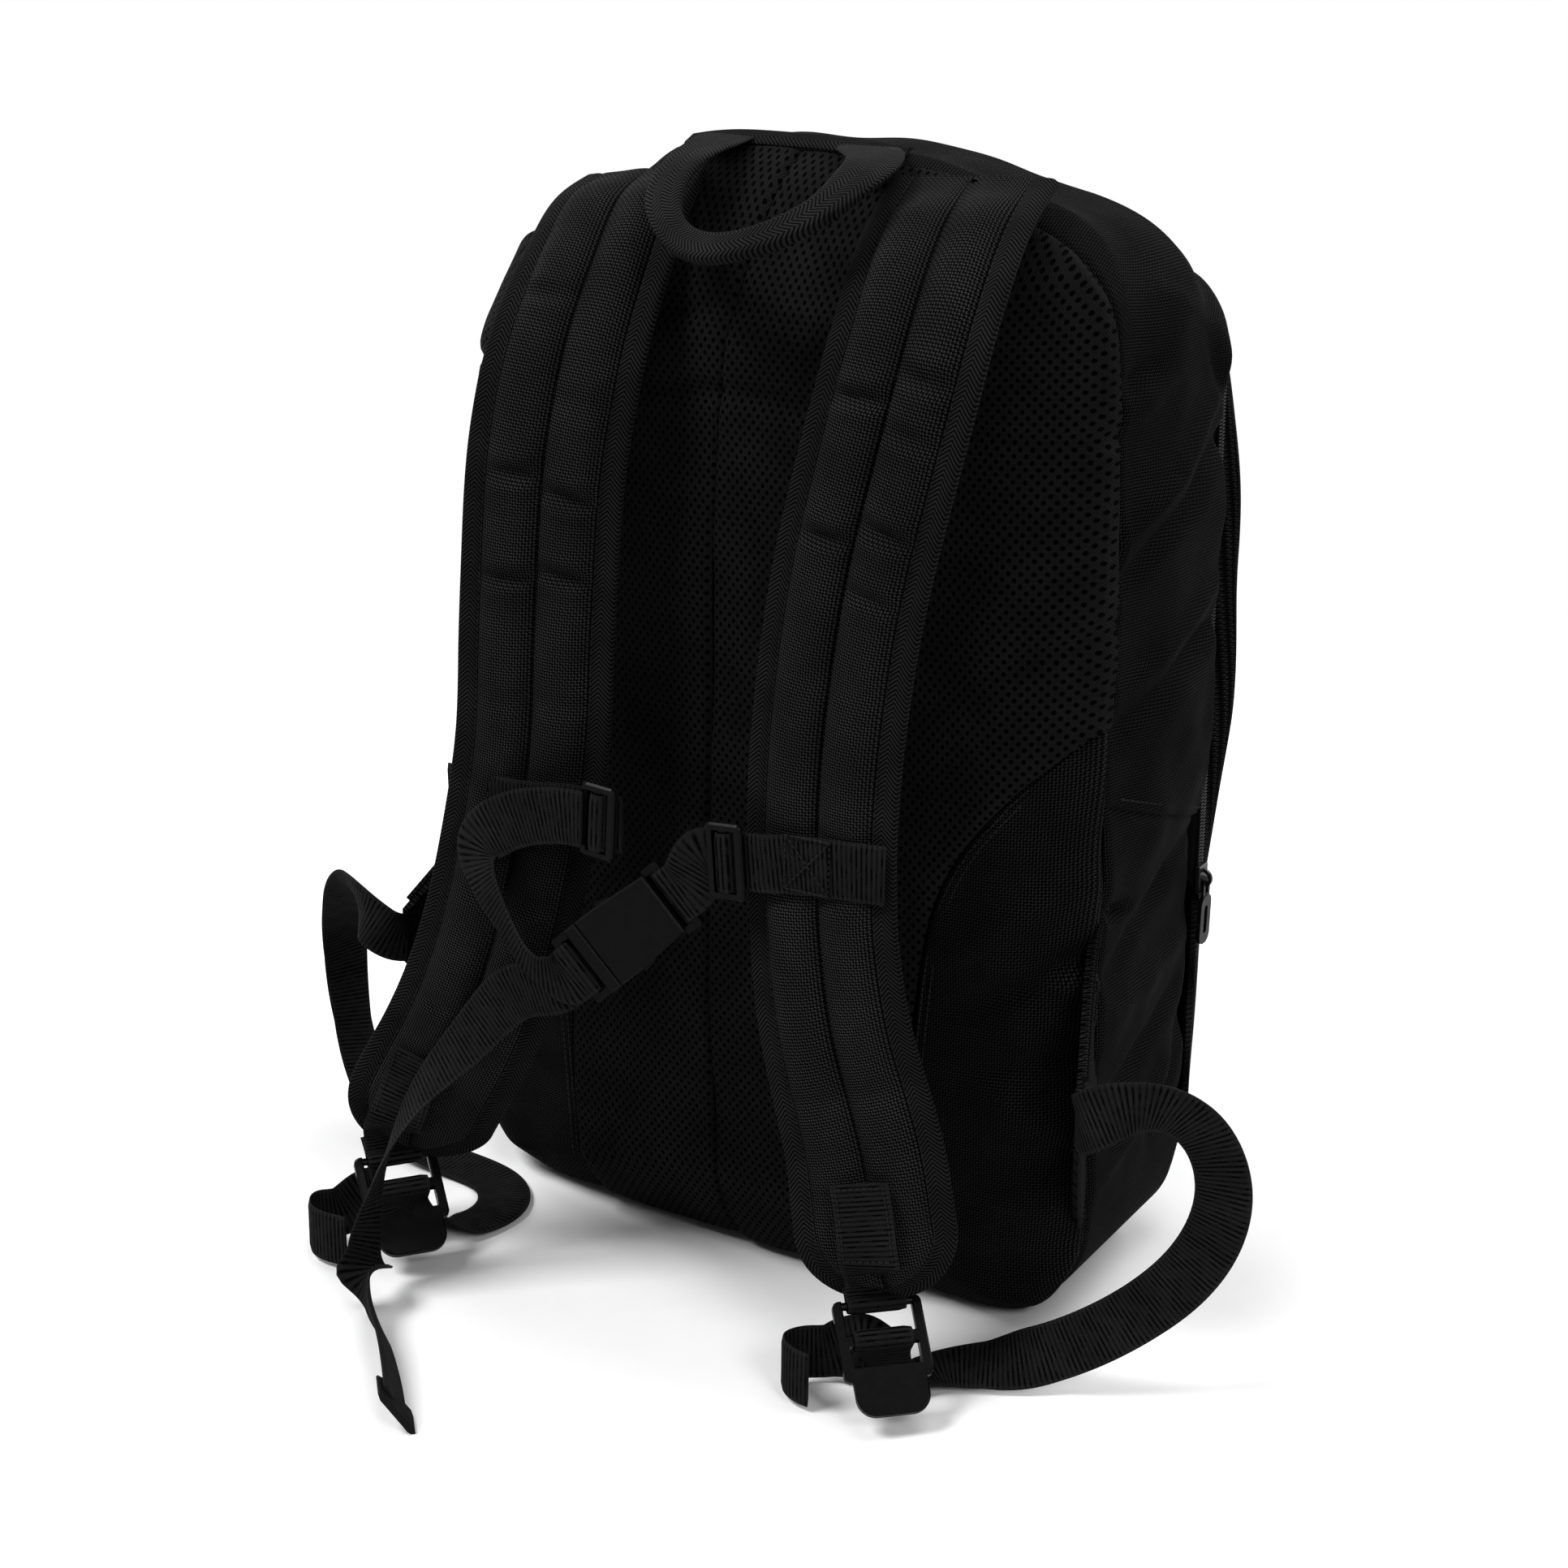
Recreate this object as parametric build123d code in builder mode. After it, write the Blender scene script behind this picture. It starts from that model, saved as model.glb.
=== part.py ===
from build123d import *
import math
import os

# Racket backpack, standing on its base. Millimetres.
# X: to the right when facing the harness. Y: from the harness (-Y) to the front (+Y). Z: up, 0 at the base.

# ---- bag body -------------------------------------------------------------------------------------------
BAG_HEIGHT = 500.0
BAG_WIDTH = 322.0           # at the base
TOP_WIDTH = 300.0           # at the top, before its corners are rounded
BAG_DEPTH = 150.0           # from the back seam to the front face
BACK_CROWN = 22.0           # how far the back panel bulges past its side seams
BOTTOM_RADIUS = 42.0
TOP_RADIUS = 64.0
FRONT_EDGE_RADIUS = 35.0
BASE_FRONT = 38.0           # where the flat base ends at the front
BASE_BACK = -70.0           # and at the back
FRONT_BOTTOM_RISE = 105.0   # height over which the front curves into the base
FRONT_TOP_DROP = 115.0      # height over which the front curves into the top
TOP_FRONT = 5.0             # the flat of the top runs from here
TOP_BACK = -45.0            # back to the strap seam
BACK_TOP_DROP = 105.0
BACK_BOTTOM_RISE = 70.0
WALL = 3.0                  # shell fabric with its lining
MESH_THICKNESS = 5.0        # spacer mesh over the back
CORNER_THICKNESS = 1.6      # woven corner panels over the back
BACK_SEAM = -68.0           # plane of the seam between back panel and gusset
FRONT_SEAM = 50.0           # plane of the seam that the zip follows
CENTRE_SEAM = 1.6           # groove between the two mesh pads
PANEL_GAP = 0.2             # sewn panels lie this far apart at a seam
MESH_CURVE_TOP = 285.0      # where the mesh's edge leaves the side seam
MESH_CURVE_LOW = 165.0      # and where it has come in to the corner panel's inner edge
CORNER_INNER = 92.0
POCKET_BACK = 245.0         # slanting seam of the side panels: height at the back
POCKET_FRONT = 205.0        # and at the front

# ---- zip ------------------------------------------------------------------------------------------------
ZIP_BOTTOM = 166.0          # the zip's lower ends, and the line on which the flap folds
ZIP_TAPE = 6.0              # width of each half of the chain
ZIP_PROUD = 0.8             # the teeth stand this far out of the shell
RUN_CLEARANCE = 0.3
SLIDER_GAP = 0.5            # slider to chain: the flap's chain slides up past it as the flap folds down
SLIDER_LENGTH = 13.0
SLIDER_WIDTH = 9.0
SLIDER_THICKNESS = 2.2
BAIL_RADIUS = 4.0
BAIL_WIRE = 0.8
PULL_LENGTH = 30.0
PULL_WIDTH = 11.0
PULL_THICKNESS = 2.0
PULL_NECK = 7.0             # width of the eye frame
EYE_RAIL = 1.8              # width of its two side rails
EYE_FOOT = 3.0              # length that runs into the grip
GRIP_SET = 0.8              # the grip starts this far below the eye
EYE_BAR = 1.4
EYE_DROP = 6.5              # length of the eye's window

# ---- inner pieces ---------------------------------------------------------------------------------------
SHEET_THICKNESS = 1.5       # plastic frame sheet
FOAM_THICKNESS = 6.0
BOARD_THICKNESS = 2.5       # stiffener on the base
SLEEVE_THICKNESS = 4.0      # padded divider
SLEEVE_Y = -38.0
SLEEVE_TOP = 330.0
INNER_GAP = 0.3

# ---- harness --------------------------------------------------------------------------------------------
WEBBING = 25.0              # width of all the webbing
WEB_THICK = 1.6
PAD_WIDTH = 48.0            # the two padded channels of a shoulder strap
PAD_EDGE = 4.0              # thickness at the edges and along the middle seam
PAD_CROWN = 6.5             # how far the channels stand out in front
BINDING_WIDTH = 10.0
BINDING_THICK = 4.0
STRAP_STEPS = 16
LINING_THICK = 2.0
TAPER_START = 0.88          # share of a strap's length after which it narrows
END_NARROWING = 0.28        # share of its width that it loses by its end
SEW_GAP = 0.15              # between pieces that are sewn together

# ---- hardware -------------------------------------------------------------------------------------------
LOCK_WIDTH = 38.0
LOCK_RAIL = 4.2             # width of the side rails
LOCK_THICK = 4.0
LOCK_BAR = 3.4              # diameter of the round top bar
LOCK_TAB = 15.0             # thumb tab beyond the lower bar
TRIGLIDE_WIDTH = 33.0
TRIGLIDE_LENGTH = 17.0
TRIGLIDE_THICK = 2.6
TRIGLIDE_RAIL = 3.2
BUCKLE_WIDTH = 33.0
BUCKLE_THICK = 8.0
ARM_WIDTH = 4.5
BUCKLE_WALL = 1.8
EDGE_BREAK = 0.8            # chamfer along the moulded fittings' outlines

REACH = 400.0               # longer than anything that it cuts


def front_outline(inset):
    """The bag seen from the front: tapering sides and rounded corners."""
    with BuildSketch(Plane.XZ) as outline:
        with BuildLine():
            Polyline(
                (-BAG_WIDTH / 2, 0),
                (BAG_WIDTH / 2, 0),
                (TOP_WIDTH / 2, BAG_HEIGHT),
                (-TOP_WIDTH / 2, BAG_HEIGHT),
                close=True,
            )
        make_face()
        fillet(outline.vertices().group_by(Axis.Y)[0], BOTTOM_RADIUS)
        fillet(outline.vertices().group_by(Axis.Y)[-1], TOP_RADIUS)
        if inset:
            offset(amount=-inset)
    return outline.sketch


def plan_outline(inset):
    """The bag seen from above: a crowned back and rounded front edges."""
    half = BAG_WIDTH / 2 + 5
    front = BAG_DEPTH / 2 + 5
    with BuildSketch(Plane.XY) as outline:
        with BuildLine():
            ThreePointArc((-half, -BAG_DEPTH / 2), (0, -BAG_DEPTH / 2 - BACK_CROWN), (half, -BAG_DEPTH / 2))
            Polyline((half, -BAG_DEPTH / 2), (half, front), (-half, front), (-half, -BAG_DEPTH / 2))
        make_face()
        fillet(outline.vertices().group_by(Axis.Y)[-1], FRONT_EDGE_RADIUS)
        if inset:
            offset(amount=-inset)
    return outline.sketch


def side_outline(inset):
    """The bag seen from its side: the front rolls into the top and the base."""
    front = BAG_DEPTH / 2
    back = -BAG_DEPTH / 2 - BACK_CROWN - 3
    with BuildSketch(Plane.YZ) as outline:
        with BuildLine():
            Line((BASE_BACK, 0), (BASE_FRONT, 0))
            TangentArc((front, FRONT_BOTTOM_RISE), (BASE_FRONT, 0), tangent=(0, -1))
            Line((front, FRONT_BOTTOM_RISE), (front, BAG_HEIGHT - FRONT_TOP_DROP))
            TangentArc((front, BAG_HEIGHT - FRONT_TOP_DROP), (TOP_FRONT, BAG_HEIGHT), tangent=(0, 1))
            Line((TOP_FRONT, BAG_HEIGHT), (TOP_BACK, BAG_HEIGHT))
            TangentArc((back, BAG_HEIGHT - BACK_TOP_DROP), (TOP_BACK, BAG_HEIGHT), tangent=(0, 1))
            Line((back, BAG_HEIGHT - BACK_TOP_DROP), (back, BACK_BOTTOM_RISE))
            TangentArc((back, BACK_BOTTOM_RISE), (BASE_BACK, 0), tangent=(0, -1))
        make_face()
        if inset:
            offset(amount=-inset, kind=Kind.INTERSECTION)
    return outline.sketch


def body_form(inset):
    """The solid shape of the whole bag, drawn in by the given distance."""
    with BuildPart() as form:
        extrude(front_outline(inset), amount=REACH, both=True)
        extrude(plan_outline(inset), amount=2 * REACH, both=True, mode=Mode.INTERSECT)
        extrude(side_outline(inset), amount=REACH, both=True, mode=Mode.INTERSECT)
    return form.part


def slab(x=(-REACH, REACH), y=(-REACH, REACH), z=(-REACH, 2 * REACH)):
    """A block between three pairs of limits, used to divide the shell at its seams."""
    size = (x[1] - x[0], y[1] - y[0], z[1] - z[0])
    middle = ((x[0] + x[1]) / 2, (y[0] + y[1]) / 2, (z[0] + z[1]) / 2)
    return Pos(*middle) * Box(*size)


def side_x(z):
    """Half the bag's width at height z on its tapering sides."""
    return BAG_WIDTH / 2 - (BAG_WIDTH - TOP_WIDTH) / 2 * z / BAG_HEIGHT


OUTER = body_form(0)
INNER = body_form(WALL)
SHELL = OUTER - INNER
parts = {}


def keep(name, shape):
    """Labels a finished piece and lists it for export."""
    shape.label = name
    parts[name] = shape


def cut_shell(name, shell, region):
    """Takes one panel out of a shell."""
    with BuildPart() as panel:
        add(shell)
        add(region, mode=Mode.INTERSECT)
    keep(name, panel.part)


# ---- back: structural panel, spacer mesh in two halves, woven corners ------------------------------------
cut_shell("back_panel", SHELL, slab(y=(-REACH, BACK_SEAM - PANEL_GAP)))


def corner_outline(side):
    """The woven panel at a lower corner of the back, with its curved upper edge."""
    edge = BAG_WIDTH / 2 + 20
    low = CORNER_INNER - 14
    with BuildPart() as prism:
        with BuildSketch(Plane.XZ):
            with BuildLine():
                TangentArc((CORNER_INNER, MESH_CURVE_LOW), (edge, MESH_CURVE_TOP), tangent=(0.35, 1))
                Polyline((edge, MESH_CURVE_TOP), (edge, -20), (low, -20), (CORNER_INNER, MESH_CURVE_LOW))
            make_face()
        extrude(amount=REACH, both=True)
    return prism.part if side > 0 else mirror(prism.part, about=Plane.YZ)


BACK_HALF = slab(y=(-REACH, BACK_SEAM - PANEL_GAP))
for side, word in ((-1, "left"), (1, "right")):
    half = slab(x=(CENTRE_SEAM / 2, REACH)) if side > 0 else slab(x=(-REACH, -CENTRE_SEAM / 2))
    corner = corner_outline(side)
    mesh = (body_form(-MESH_THICKNESS) - OUTER) & BACK_HALF & half & slab(z=(4, BAG_HEIGHT - 20))
    with BuildPart() as mesh_pad:
        add(mesh - corner)
    keep("mesh_pad_" + word, mesh_pad.part)
    woven = (body_form(-CORNER_THICKNESS) - OUTER) & BACK_HALF & slab(z=(0, REACH))
    with BuildPart() as corner_panel:
        add(woven & corner)
    keep("corner_panel_" + word, corner_panel.part)


# ---- gusset, base, top and front -------------------------------------------------------------------------
BASE_TOP = BOTTOM_RADIUS + 2
YOKE_LOW = BAG_HEIGHT - TOP_RADIUS - 2
GUSSET_Y = (BACK_SEAM, FRONT_SEAM)
ZIP_SLOT = slab(y=(FRONT_SEAM - ZIP_TAPE - PANEL_GAP, REACH), z=(ZIP_BOTTOM - PANEL_GAP, 2 * REACH))


def below_pocket_seam(lift):
    """Everything under the slanting seam of the side panels, moved up by lift."""
    with BuildPart() as under:
        with BuildSketch(Plane.YZ):
            with BuildLine():
                Polyline(
                    (BACK_SEAM, POCKET_BACK + lift),
                    (FRONT_SEAM, POCKET_FRONT + lift),
                    (FRONT_SEAM, -20),
                    (BACK_SEAM, -20),
                    close=True,
                )
            make_face()
        extrude(amount=REACH, both=True)
    return under.part


band = (SHELL & slab(y=GUSSET_Y)) - ZIP_SLOT
cut_shell("base_panel", band, slab(z=(-10, BASE_TOP)))
cut_shell("top_yoke", band, slab(z=(YOKE_LOW, BAG_HEIGHT + 10)))
for side, word in ((-1, "left"), (1, "right")):
    reach = (0, REACH) if side > 0 else (-REACH, 0)
    sides = band & slab(x=reach, z=(BASE_TOP + PANEL_GAP, YOKE_LOW - PANEL_GAP))
    cut_shell("side_lower_" + word, sides, below_pocket_seam(0))
    with BuildPart() as upper:
        add(sides - below_pocket_seam(PANEL_GAP))
    keep("side_upper_" + word, upper.part)

cut_shell("front_lower", SHELL, slab(y=(FRONT_SEAM + PANEL_GAP, REACH), z=(-10, ZIP_BOTTOM - PANEL_GAP)))
cut_shell("front_flap", SHELL, slab(y=(FRONT_SEAM + ZIP_TAPE + PANEL_GAP, REACH), z=(ZIP_BOTTOM, 2 * REACH)))
CHAIN = (body_form(-ZIP_PROUD) - INNER) & slab(z=(ZIP_BOTTOM, 2 * REACH))
cut_shell("zip_chain_bag", CHAIN, slab(y=(FRONT_SEAM - ZIP_TAPE, FRONT_SEAM - PANEL_GAP / 2)))
cut_shell("zip_chain_flap", CHAIN, slab(y=(FRONT_SEAM + PANEL_GAP / 2, FRONT_SEAM + ZIP_TAPE)))

# ---- zip slider and its pull, at the foot of the right-hand chain -----------------------------------------
SIDE_LEAN = math.atan2((BAG_WIDTH - TOP_WIDTH) / 2, BAG_HEIGHT)
SLIDER_Z = ZIP_BOTTOM + SLIDER_LENGTH / 2 + 2
SLIDER_X = side_x(SLIDER_Z) + (ZIP_PROUD + SLIDER_GAP) / math.cos(SIDE_LEAN)
slider_face = Plane(
    origin=(SLIDER_X, FRONT_SEAM, SLIDER_Z),
    x_dir=(0, 1, 0),
    z_dir=(math.cos(SIDE_LEAN), 0, math.sin(SIDE_LEAN)),
)
with BuildPart() as slider:
    with BuildSketch(slider_face):
        with BuildLine():
            Polyline(
                (-SLIDER_WIDTH / 2, SLIDER_LENGTH / 2),
                (-SLIDER_WIDTH / 2, 0),
                (-SLIDER_WIDTH / 3, -SLIDER_LENGTH / 2),
                (SLIDER_WIDTH / 3, -SLIDER_LENGTH / 2),
                (SLIDER_WIDTH / 2, 0),
                (SLIDER_WIDTH / 2, SLIDER_LENGTH / 2),
                close=True,
            )
        make_face()
    extrude(amount=SLIDER_THICKNESS)
    chamfer(slider.faces().sort_by(Axis.X)[-1].edges(), SLIDER_THICKNESS / 4)
    # the bail: a half ring standing on the slider's face
    bail_plane = Plane(
        origin=slider_face.from_local_coords((0, 0, SLIDER_THICKNESS - BAIL_WIRE)),
        x_dir=slider_face.y_dir,
        z_dir=slider_face.x_dir,
    )
    with BuildSketch(bail_plane):
        Circle(BAIL_RADIUS + BAIL_WIRE)
        Circle(BAIL_RADIUS - BAIL_WIRE, mode=Mode.SUBTRACT)
        with Locations((0, -BAIL_RADIUS)):
            Rectangle(4 * BAIL_RADIUS, 2 * BAIL_RADIUS, mode=Mode.SUBTRACT)
    extrude(amount=BAIL_WIRE, both=True)
keep("zip_slider", slider.part)

# the pull hangs from the bail: an eye frame round the bail, then a slotted grip
BAIL_INNER = BAIL_RADIUS - BAIL_WIRE
EYE_OUT = SLIDER_THICKNESS + (BAIL_INNER - BAIL_WIRE) / 2
PULL_EYE = slider_face.from_local_coords((0, -0.4, EYE_OUT))
pull_face = Plane(origin=PULL_EYE, x_dir=(0, 1, 0), z_dir=(1, 0, 0))
WINDOW = PULL_NECK - 2 * EYE_RAIL
GRIP_LENGTH = PULL_LENGTH - EYE_DROP
with BuildPart() as pull:
    with BuildSketch(pull_face):
        with Locations((0, (EYE_BAR / 2 - EYE_DROP - EYE_FOOT) / 2)):
            RectangleRounded(PULL_NECK, EYE_DROP + EYE_FOOT + EYE_BAR / 2, 0.6)
        with Locations((0, -(EYE_BAR / 2 + EYE_DROP) / 2)):
            Rectangle(WINDOW, EYE_DROP - EYE_BAR / 2, mode=Mode.SUBTRACT)
    extrude(amount=EYE_BAR / 2, both=True)
    with BuildSketch(pull_face):
        with Locations((0, -EYE_DROP - GRIP_SET - GRIP_LENGTH / 2)):
            RectangleRounded(PULL_WIDTH, GRIP_LENGTH, PULL_WIDTH * 0.42)
            SlotOverall(PULL_LENGTH * 0.45, PULL_WIDTH * 0.32, rotation=90, mode=Mode.SUBTRACT)
    extrude(amount=PULL_THICKNESS / 2, both=True)
keep("zip_pull", pull.part)

# ---- inside: frame sheet, foam, divider, base board --------------------------------------------------------
SHEET_OUT = WALL + INNER_GAP
SHEET_IN = SHEET_OUT + SHEET_THICKNESS
FOAM_OUT = SHEET_IN + INNER_GAP
FOAM_IN = FOAM_OUT + FOAM_THICKNESS
STIFF_HALF = 138.0          # half width of the frame sheet and its foam
STIFF_LOW = 24.0
STIFF_HIGH = 430.0
STIFF_REGION = slab(x=(-STIFF_HALF, STIFF_HALF), y=(-REACH, BACK_SEAM - 2), z=(STIFF_LOW, STIFF_HIGH))
cut_shell("frame_sheet", body_form(SHEET_OUT) - body_form(SHEET_IN), STIFF_REGION)
cut_shell("back_foam", body_form(FOAM_OUT) - body_form(FOAM_IN), STIFF_REGION)
INNER_FIT = body_form(WALL + INNER_GAP)
BOARD_TOP = WALL + INNER_GAP + BOARD_THICKNESS
BOARD_HALF = BAG_WIDTH / 2 - BOTTOM_RADIUS - 3
BOARD_SPAN = (BASE_BACK + 10, BASE_FRONT - 6)
SLEEVE_SPAN = (SLEEVE_Y, SLEEVE_Y + SLEEVE_THICKNESS)
cut_shell("base_board", INNER_FIT, slab(x=(-BOARD_HALF, BOARD_HALF), y=BOARD_SPAN, z=(0, BOARD_TOP)))
cut_shell("sleeve_divider", INNER_FIT, slab(y=SLEEVE_SPAN, z=(BOARD_TOP + INNER_GAP, SLEEVE_TOP)))


# ---- flat webbing and padded straps ------------------------------------------------------------------------
def squared(direction, tangent):
    """The part of a direction that is square to a tangent."""
    return (direction - tangent * direction.dot(tangent)).normalized()


def stations(points, across, steps, ends=()):
    """Planes along a smooth path through points; across gives the width direction at each point."""
    tangents = [Vector(*end) for end in ends]
    path = Spline([Vector(*p) for p in points], tangents=tangents, tangent_scalars=[1.0] * len(ends))
    lengths = [0.0]
    for a, b in zip(points, points[1:]):
        lengths.append(lengths[-1] + (Vector(*b) - Vector(*a)).length)
    widths = [squared(Vector(*width), path % (length / lengths[-1])) for width, length in zip(across, lengths)]
    planes = []
    for step in range(steps + 1):
        t = step / steps
        along = t * lengths[-1]
        k = max(i for i in range(len(points) - 1) if lengths[i] <= along + 1e-9)
        share = (along - lengths[k]) / (lengths[k + 1] - lengths[k])
        width = squared(widths[k] * (1 - share) + widths[k + 1] * share, path % t)
        planes.append(Plane(origin=path @ t, x_dir=width, z_dir=path % t))
    return planes


def ribbon(points, across, steps=14, thickness=WEB_THICK, ends=(), fold=0.0):
    """A strip of webbing that follows a path. fold is how far it is doubled over at its middle."""
    with BuildPart() as strip:
        for number, plane in enumerate(stations(points, across, steps, ends)):
            doubled = fold * math.sin(math.pi * number / steps) ** 2
            with BuildSketch(plane):
                Rectangle(WEBBING * (1 - doubled / 2), thickness * (1 + doubled))
        loft(ruled=True)
    return strip.part


def along_pad(planes, section):
    """A lofted strip whose section, drawn about the origin, stands on each of a strap's planes."""
    last = len(planes) - 1
    with BuildPart() as strip:
        loft([plane * section(pad_share(number, last)) for number, plane in enumerate(planes)], ruled=True)
    return strip.part


def pad_share(number, last):
    """How wide a shoulder strap is at a station, as a share of its full width: it narrows to its end."""
    taper = max(0.0, number / last - TAPER_START) / (1 - TAPER_START)
    return 1.0 - END_NARROWING * taper**2


def pad_section(share):
    """Section of the padded part: flat behind, two crowned channels in front."""
    half = PAD_WIDTH / 2 * share
    edge = PAD_EDGE / 2
    with BuildSketch() as section:
        with BuildLine():
            Polyline((half, edge), (half, -edge), (-half, -edge), (-half, edge))
            ThreePointArc((half, edge), (half / 2, PAD_CROWN), (0, edge))
            ThreePointArc((0, edge), (-half / 2, PAD_CROWN), (-half, edge))
        make_face()
    return section.sketch


def binding_section(side, share):
    """Section of the ribbed tape over one edge of the strap."""
    with BuildSketch() as section:
        with Locations((side * (PAD_WIDTH / 2 * share + SEW_GAP + BINDING_WIDTH / 2), 0)):
            Rectangle(BINDING_WIDTH, BINDING_THICK)
    return section.sketch


def lining_section(share):
    """Section of the mesh lining under the strap."""
    with BuildSketch() as section:
        with Locations((0, -PAD_EDGE / 2 - SEW_GAP - LINING_THICK / 2)):
            Rectangle(PAD_WIDTH * share + BINDING_WIDTH, LINING_THICK)
    return section.sketch


# centre lines of the two shoulder straps, from the top seam to their lower ends
STRAP_RIGHT = [(77, -62, 495), (82, -90, 474), (86, -117, 438), (80, -129, 392), (75, -133, 340), (71, -135, 290),
               (70, -137, 240), (72, -139, 195), (81, -142, 148), (96, -146, 102), (106, -150, 62)]
STRAP_LEFT = [(-75, -62, 495), (-79, -90, 474), (-81, -117, 438), (-77, -130, 392), (-76, -135, 340),
              (-78, -138, 290), (-79, -141, 240), (-83, -144, 195), (-95, -148, 148), (-114, -152, 102),
              (-131, -157, 62)]
ACROSS_X = (1, 0, 0)
ACROSS_RIGHT = [ACROSS_X] * 8 + [(1, 0.1, 0), (0.96, 0.2, 0), (0.9, 0.35, 0)]
ACROSS_LEFT = [ACROSS_X] * 8 + [(1, 0.1, 0), (0.96, 0.2, 0), (0.9, 0.35, 0)]
for word, points, across in (("left", STRAP_LEFT, ACROSS_LEFT), ("right", STRAP_RIGHT, ACROSS_RIGHT)):
    planes = stations(points, across, STRAP_STEPS)
    keep("strap_pad_" + word, along_pad(planes, pad_section))
    keep("strap_lining_" + word, along_pad(planes, lining_section))
    # +1 is the edge on the +X side
    for side, place in ((-1, "left"), (1, "right")):
        edge_name = "outer" if place == word else "inner"
        binding = along_pad(planes, lambda share, side=side: binding_section(side, share))
        keep("strap_binding_" + word + "_" + edge_name, binding)


# ---- anchor wings: folded triangles sewn into the back seams near the base --------------------------------
WING_TOP = 185.0
WING_APEX = 122.0
WING_LOW = 44.0
WING_REACH = 30.0
WING_THICK = 2.4
WING_OUT = Vector(0.5, -0.866, 0)   # direction, in plan, in which the right-hand wing stands off its seam
seam_line = Vector(-math.sin(SIDE_LEAN), 0, math.cos(SIDE_LEAN))
WING_SEAM = Vector(side_x(0) + 1.2, -BAG_DEPTH / 2 - CORNER_THICKNESS - WING_THICK / 2, 0)
wing_plane = Plane(origin=WING_SEAM, x_dir=WING_OUT, z_dir=WING_OUT.cross(seam_line))
with BuildPart() as wing:
    with BuildSketch(wing_plane):
        with BuildLine():
            Polyline(
                (0, WING_TOP),
                (WING_REACH, WING_APEX + WEBBING / 2 + 1),
                (WING_REACH, WING_APEX - WEBBING / 2 - 1),
                (0, WING_LOW),
                close=True,
            )
        make_face()
    extrude(amount=WING_THICK / 2, both=True)
keep("anchor_wing_right", wing.part)
keep("anchor_wing_left", mirror(wing.part, about=Plane.YZ))

# ---- ladder locks with their tabs ---------------------------------------------------------------------------
BAR_GAP = 0.4               # webbing to bar
MID_BAR_TOP = 13.0          # distances down the lock from the axis of its top bar
MID_BAR_LOW = 18.0
SLOT_LOW = 27.5
LOCK_FOOT = 33.0


def lock_plane(origin, towards):
    """Frame of a ladder lock: x along its top bar, -y down the lock, z out of its face."""
    down = Vector(*towards).normalized()
    across = Vector(-down.Y, down.X, 0).normalized()
    return Plane(origin=origin, x_dir=across, z_dir=across.cross(down * -1))


def face_outlines(part, plane):
    """The outer edges of a moulded part's two flat faces."""
    faces = part.faces().filter_by(Axis(plane.origin, plane.z_dir)).sort_by(Axis(plane.origin, plane.z_dir))
    return faces[0].outer_wire().edges() + faces[-1].outer_wire().edges()


def ladder_lock(plane):
    """Moulded frame with a round top bar, a middle bar, a lower bar and a rounded thumb tab."""
    inner = LOCK_WIDTH - 2 * LOCK_RAIL
    with BuildPart() as lock:
        with BuildSketch(plane):
            with Locations((0, (2 - LOCK_FOOT) / 2)):
                RectangleRounded(LOCK_WIDTH, LOCK_FOOT + 2, 3)
            with Locations((0, -LOCK_FOOT - LOCK_TAB / 2 + 4)):
                RectangleRounded(LOCK_WIDTH * 0.82, LOCK_TAB + 8, 8)
            with Locations((0, (3 - MID_BAR_TOP) / 2)):
                Rectangle(inner, MID_BAR_TOP + 3, mode=Mode.SUBTRACT)
            with Locations((0, -(MID_BAR_LOW + SLOT_LOW) / 2)):
                Rectangle(inner, SLOT_LOW - MID_BAR_LOW, mode=Mode.SUBTRACT)
        extrude(amount=LOCK_THICK / 2, both=True)
        chamfer(face_outlines(lock.part, plane), EDGE_BREAK)
        with BuildSketch(Plane(origin=plane.origin, x_dir=plane.y_dir, z_dir=plane.x_dir)):
            Circle(LOCK_BAR / 2)
        extrude(amount=LOCK_WIDTH / 2 - 1, both=True)
    return lock.part


def bar_wrap(plane):
    """Webbing turned over the middle bar, its two legs hanging behind the lock."""
    top = LOCK_THICK / 2 + BAR_GAP + WEB_THICK
    side_view = Plane(origin=plane.origin, x_dir=plane.y_dir, z_dir=plane.x_dir)
    out = side_view.y_dir.dot(plane.z_dir)
    with BuildPart() as wrap:
        with BuildSketch(side_view):
            with BuildLine():
                outer_a = -MID_BAR_TOP + BAR_GAP + WEB_THICK
                outer_b = -MID_BAR_LOW - BAR_GAP - WEB_THICK
                low = -LOCK_THICK / 2 - 4
                Polyline(
                    (outer_a, out * low),
                    (outer_a, out * top),
                    (outer_b, out * top),
                    (outer_b, out * low),
                    (outer_b + WEB_THICK, out * low),
                    (outer_b + WEB_THICK, out * (top - WEB_THICK)),
                    (outer_a - WEB_THICK, out * (top - WEB_THICK)),
                    (outer_a - WEB_THICK, out * low),
                    close=True,
                )
            make_face()
        extrude(amount=WEBBING / 2, both=True)
    return wrap.part


LOCK_RIGHT = lock_plane((110, -152, 40), (30, -31, -35))
LOCK_LEFT = lock_plane((-140, -160, 40), (33, -25, -33))
LEG_A = -MID_BAR_TOP + BAR_GAP + WEB_THICK / 2
LEG_B = -MID_BAR_LOW - BAR_GAP - WEB_THICK / 2
LEG_END = -LOCK_THICK / 2 - 4.3


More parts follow.
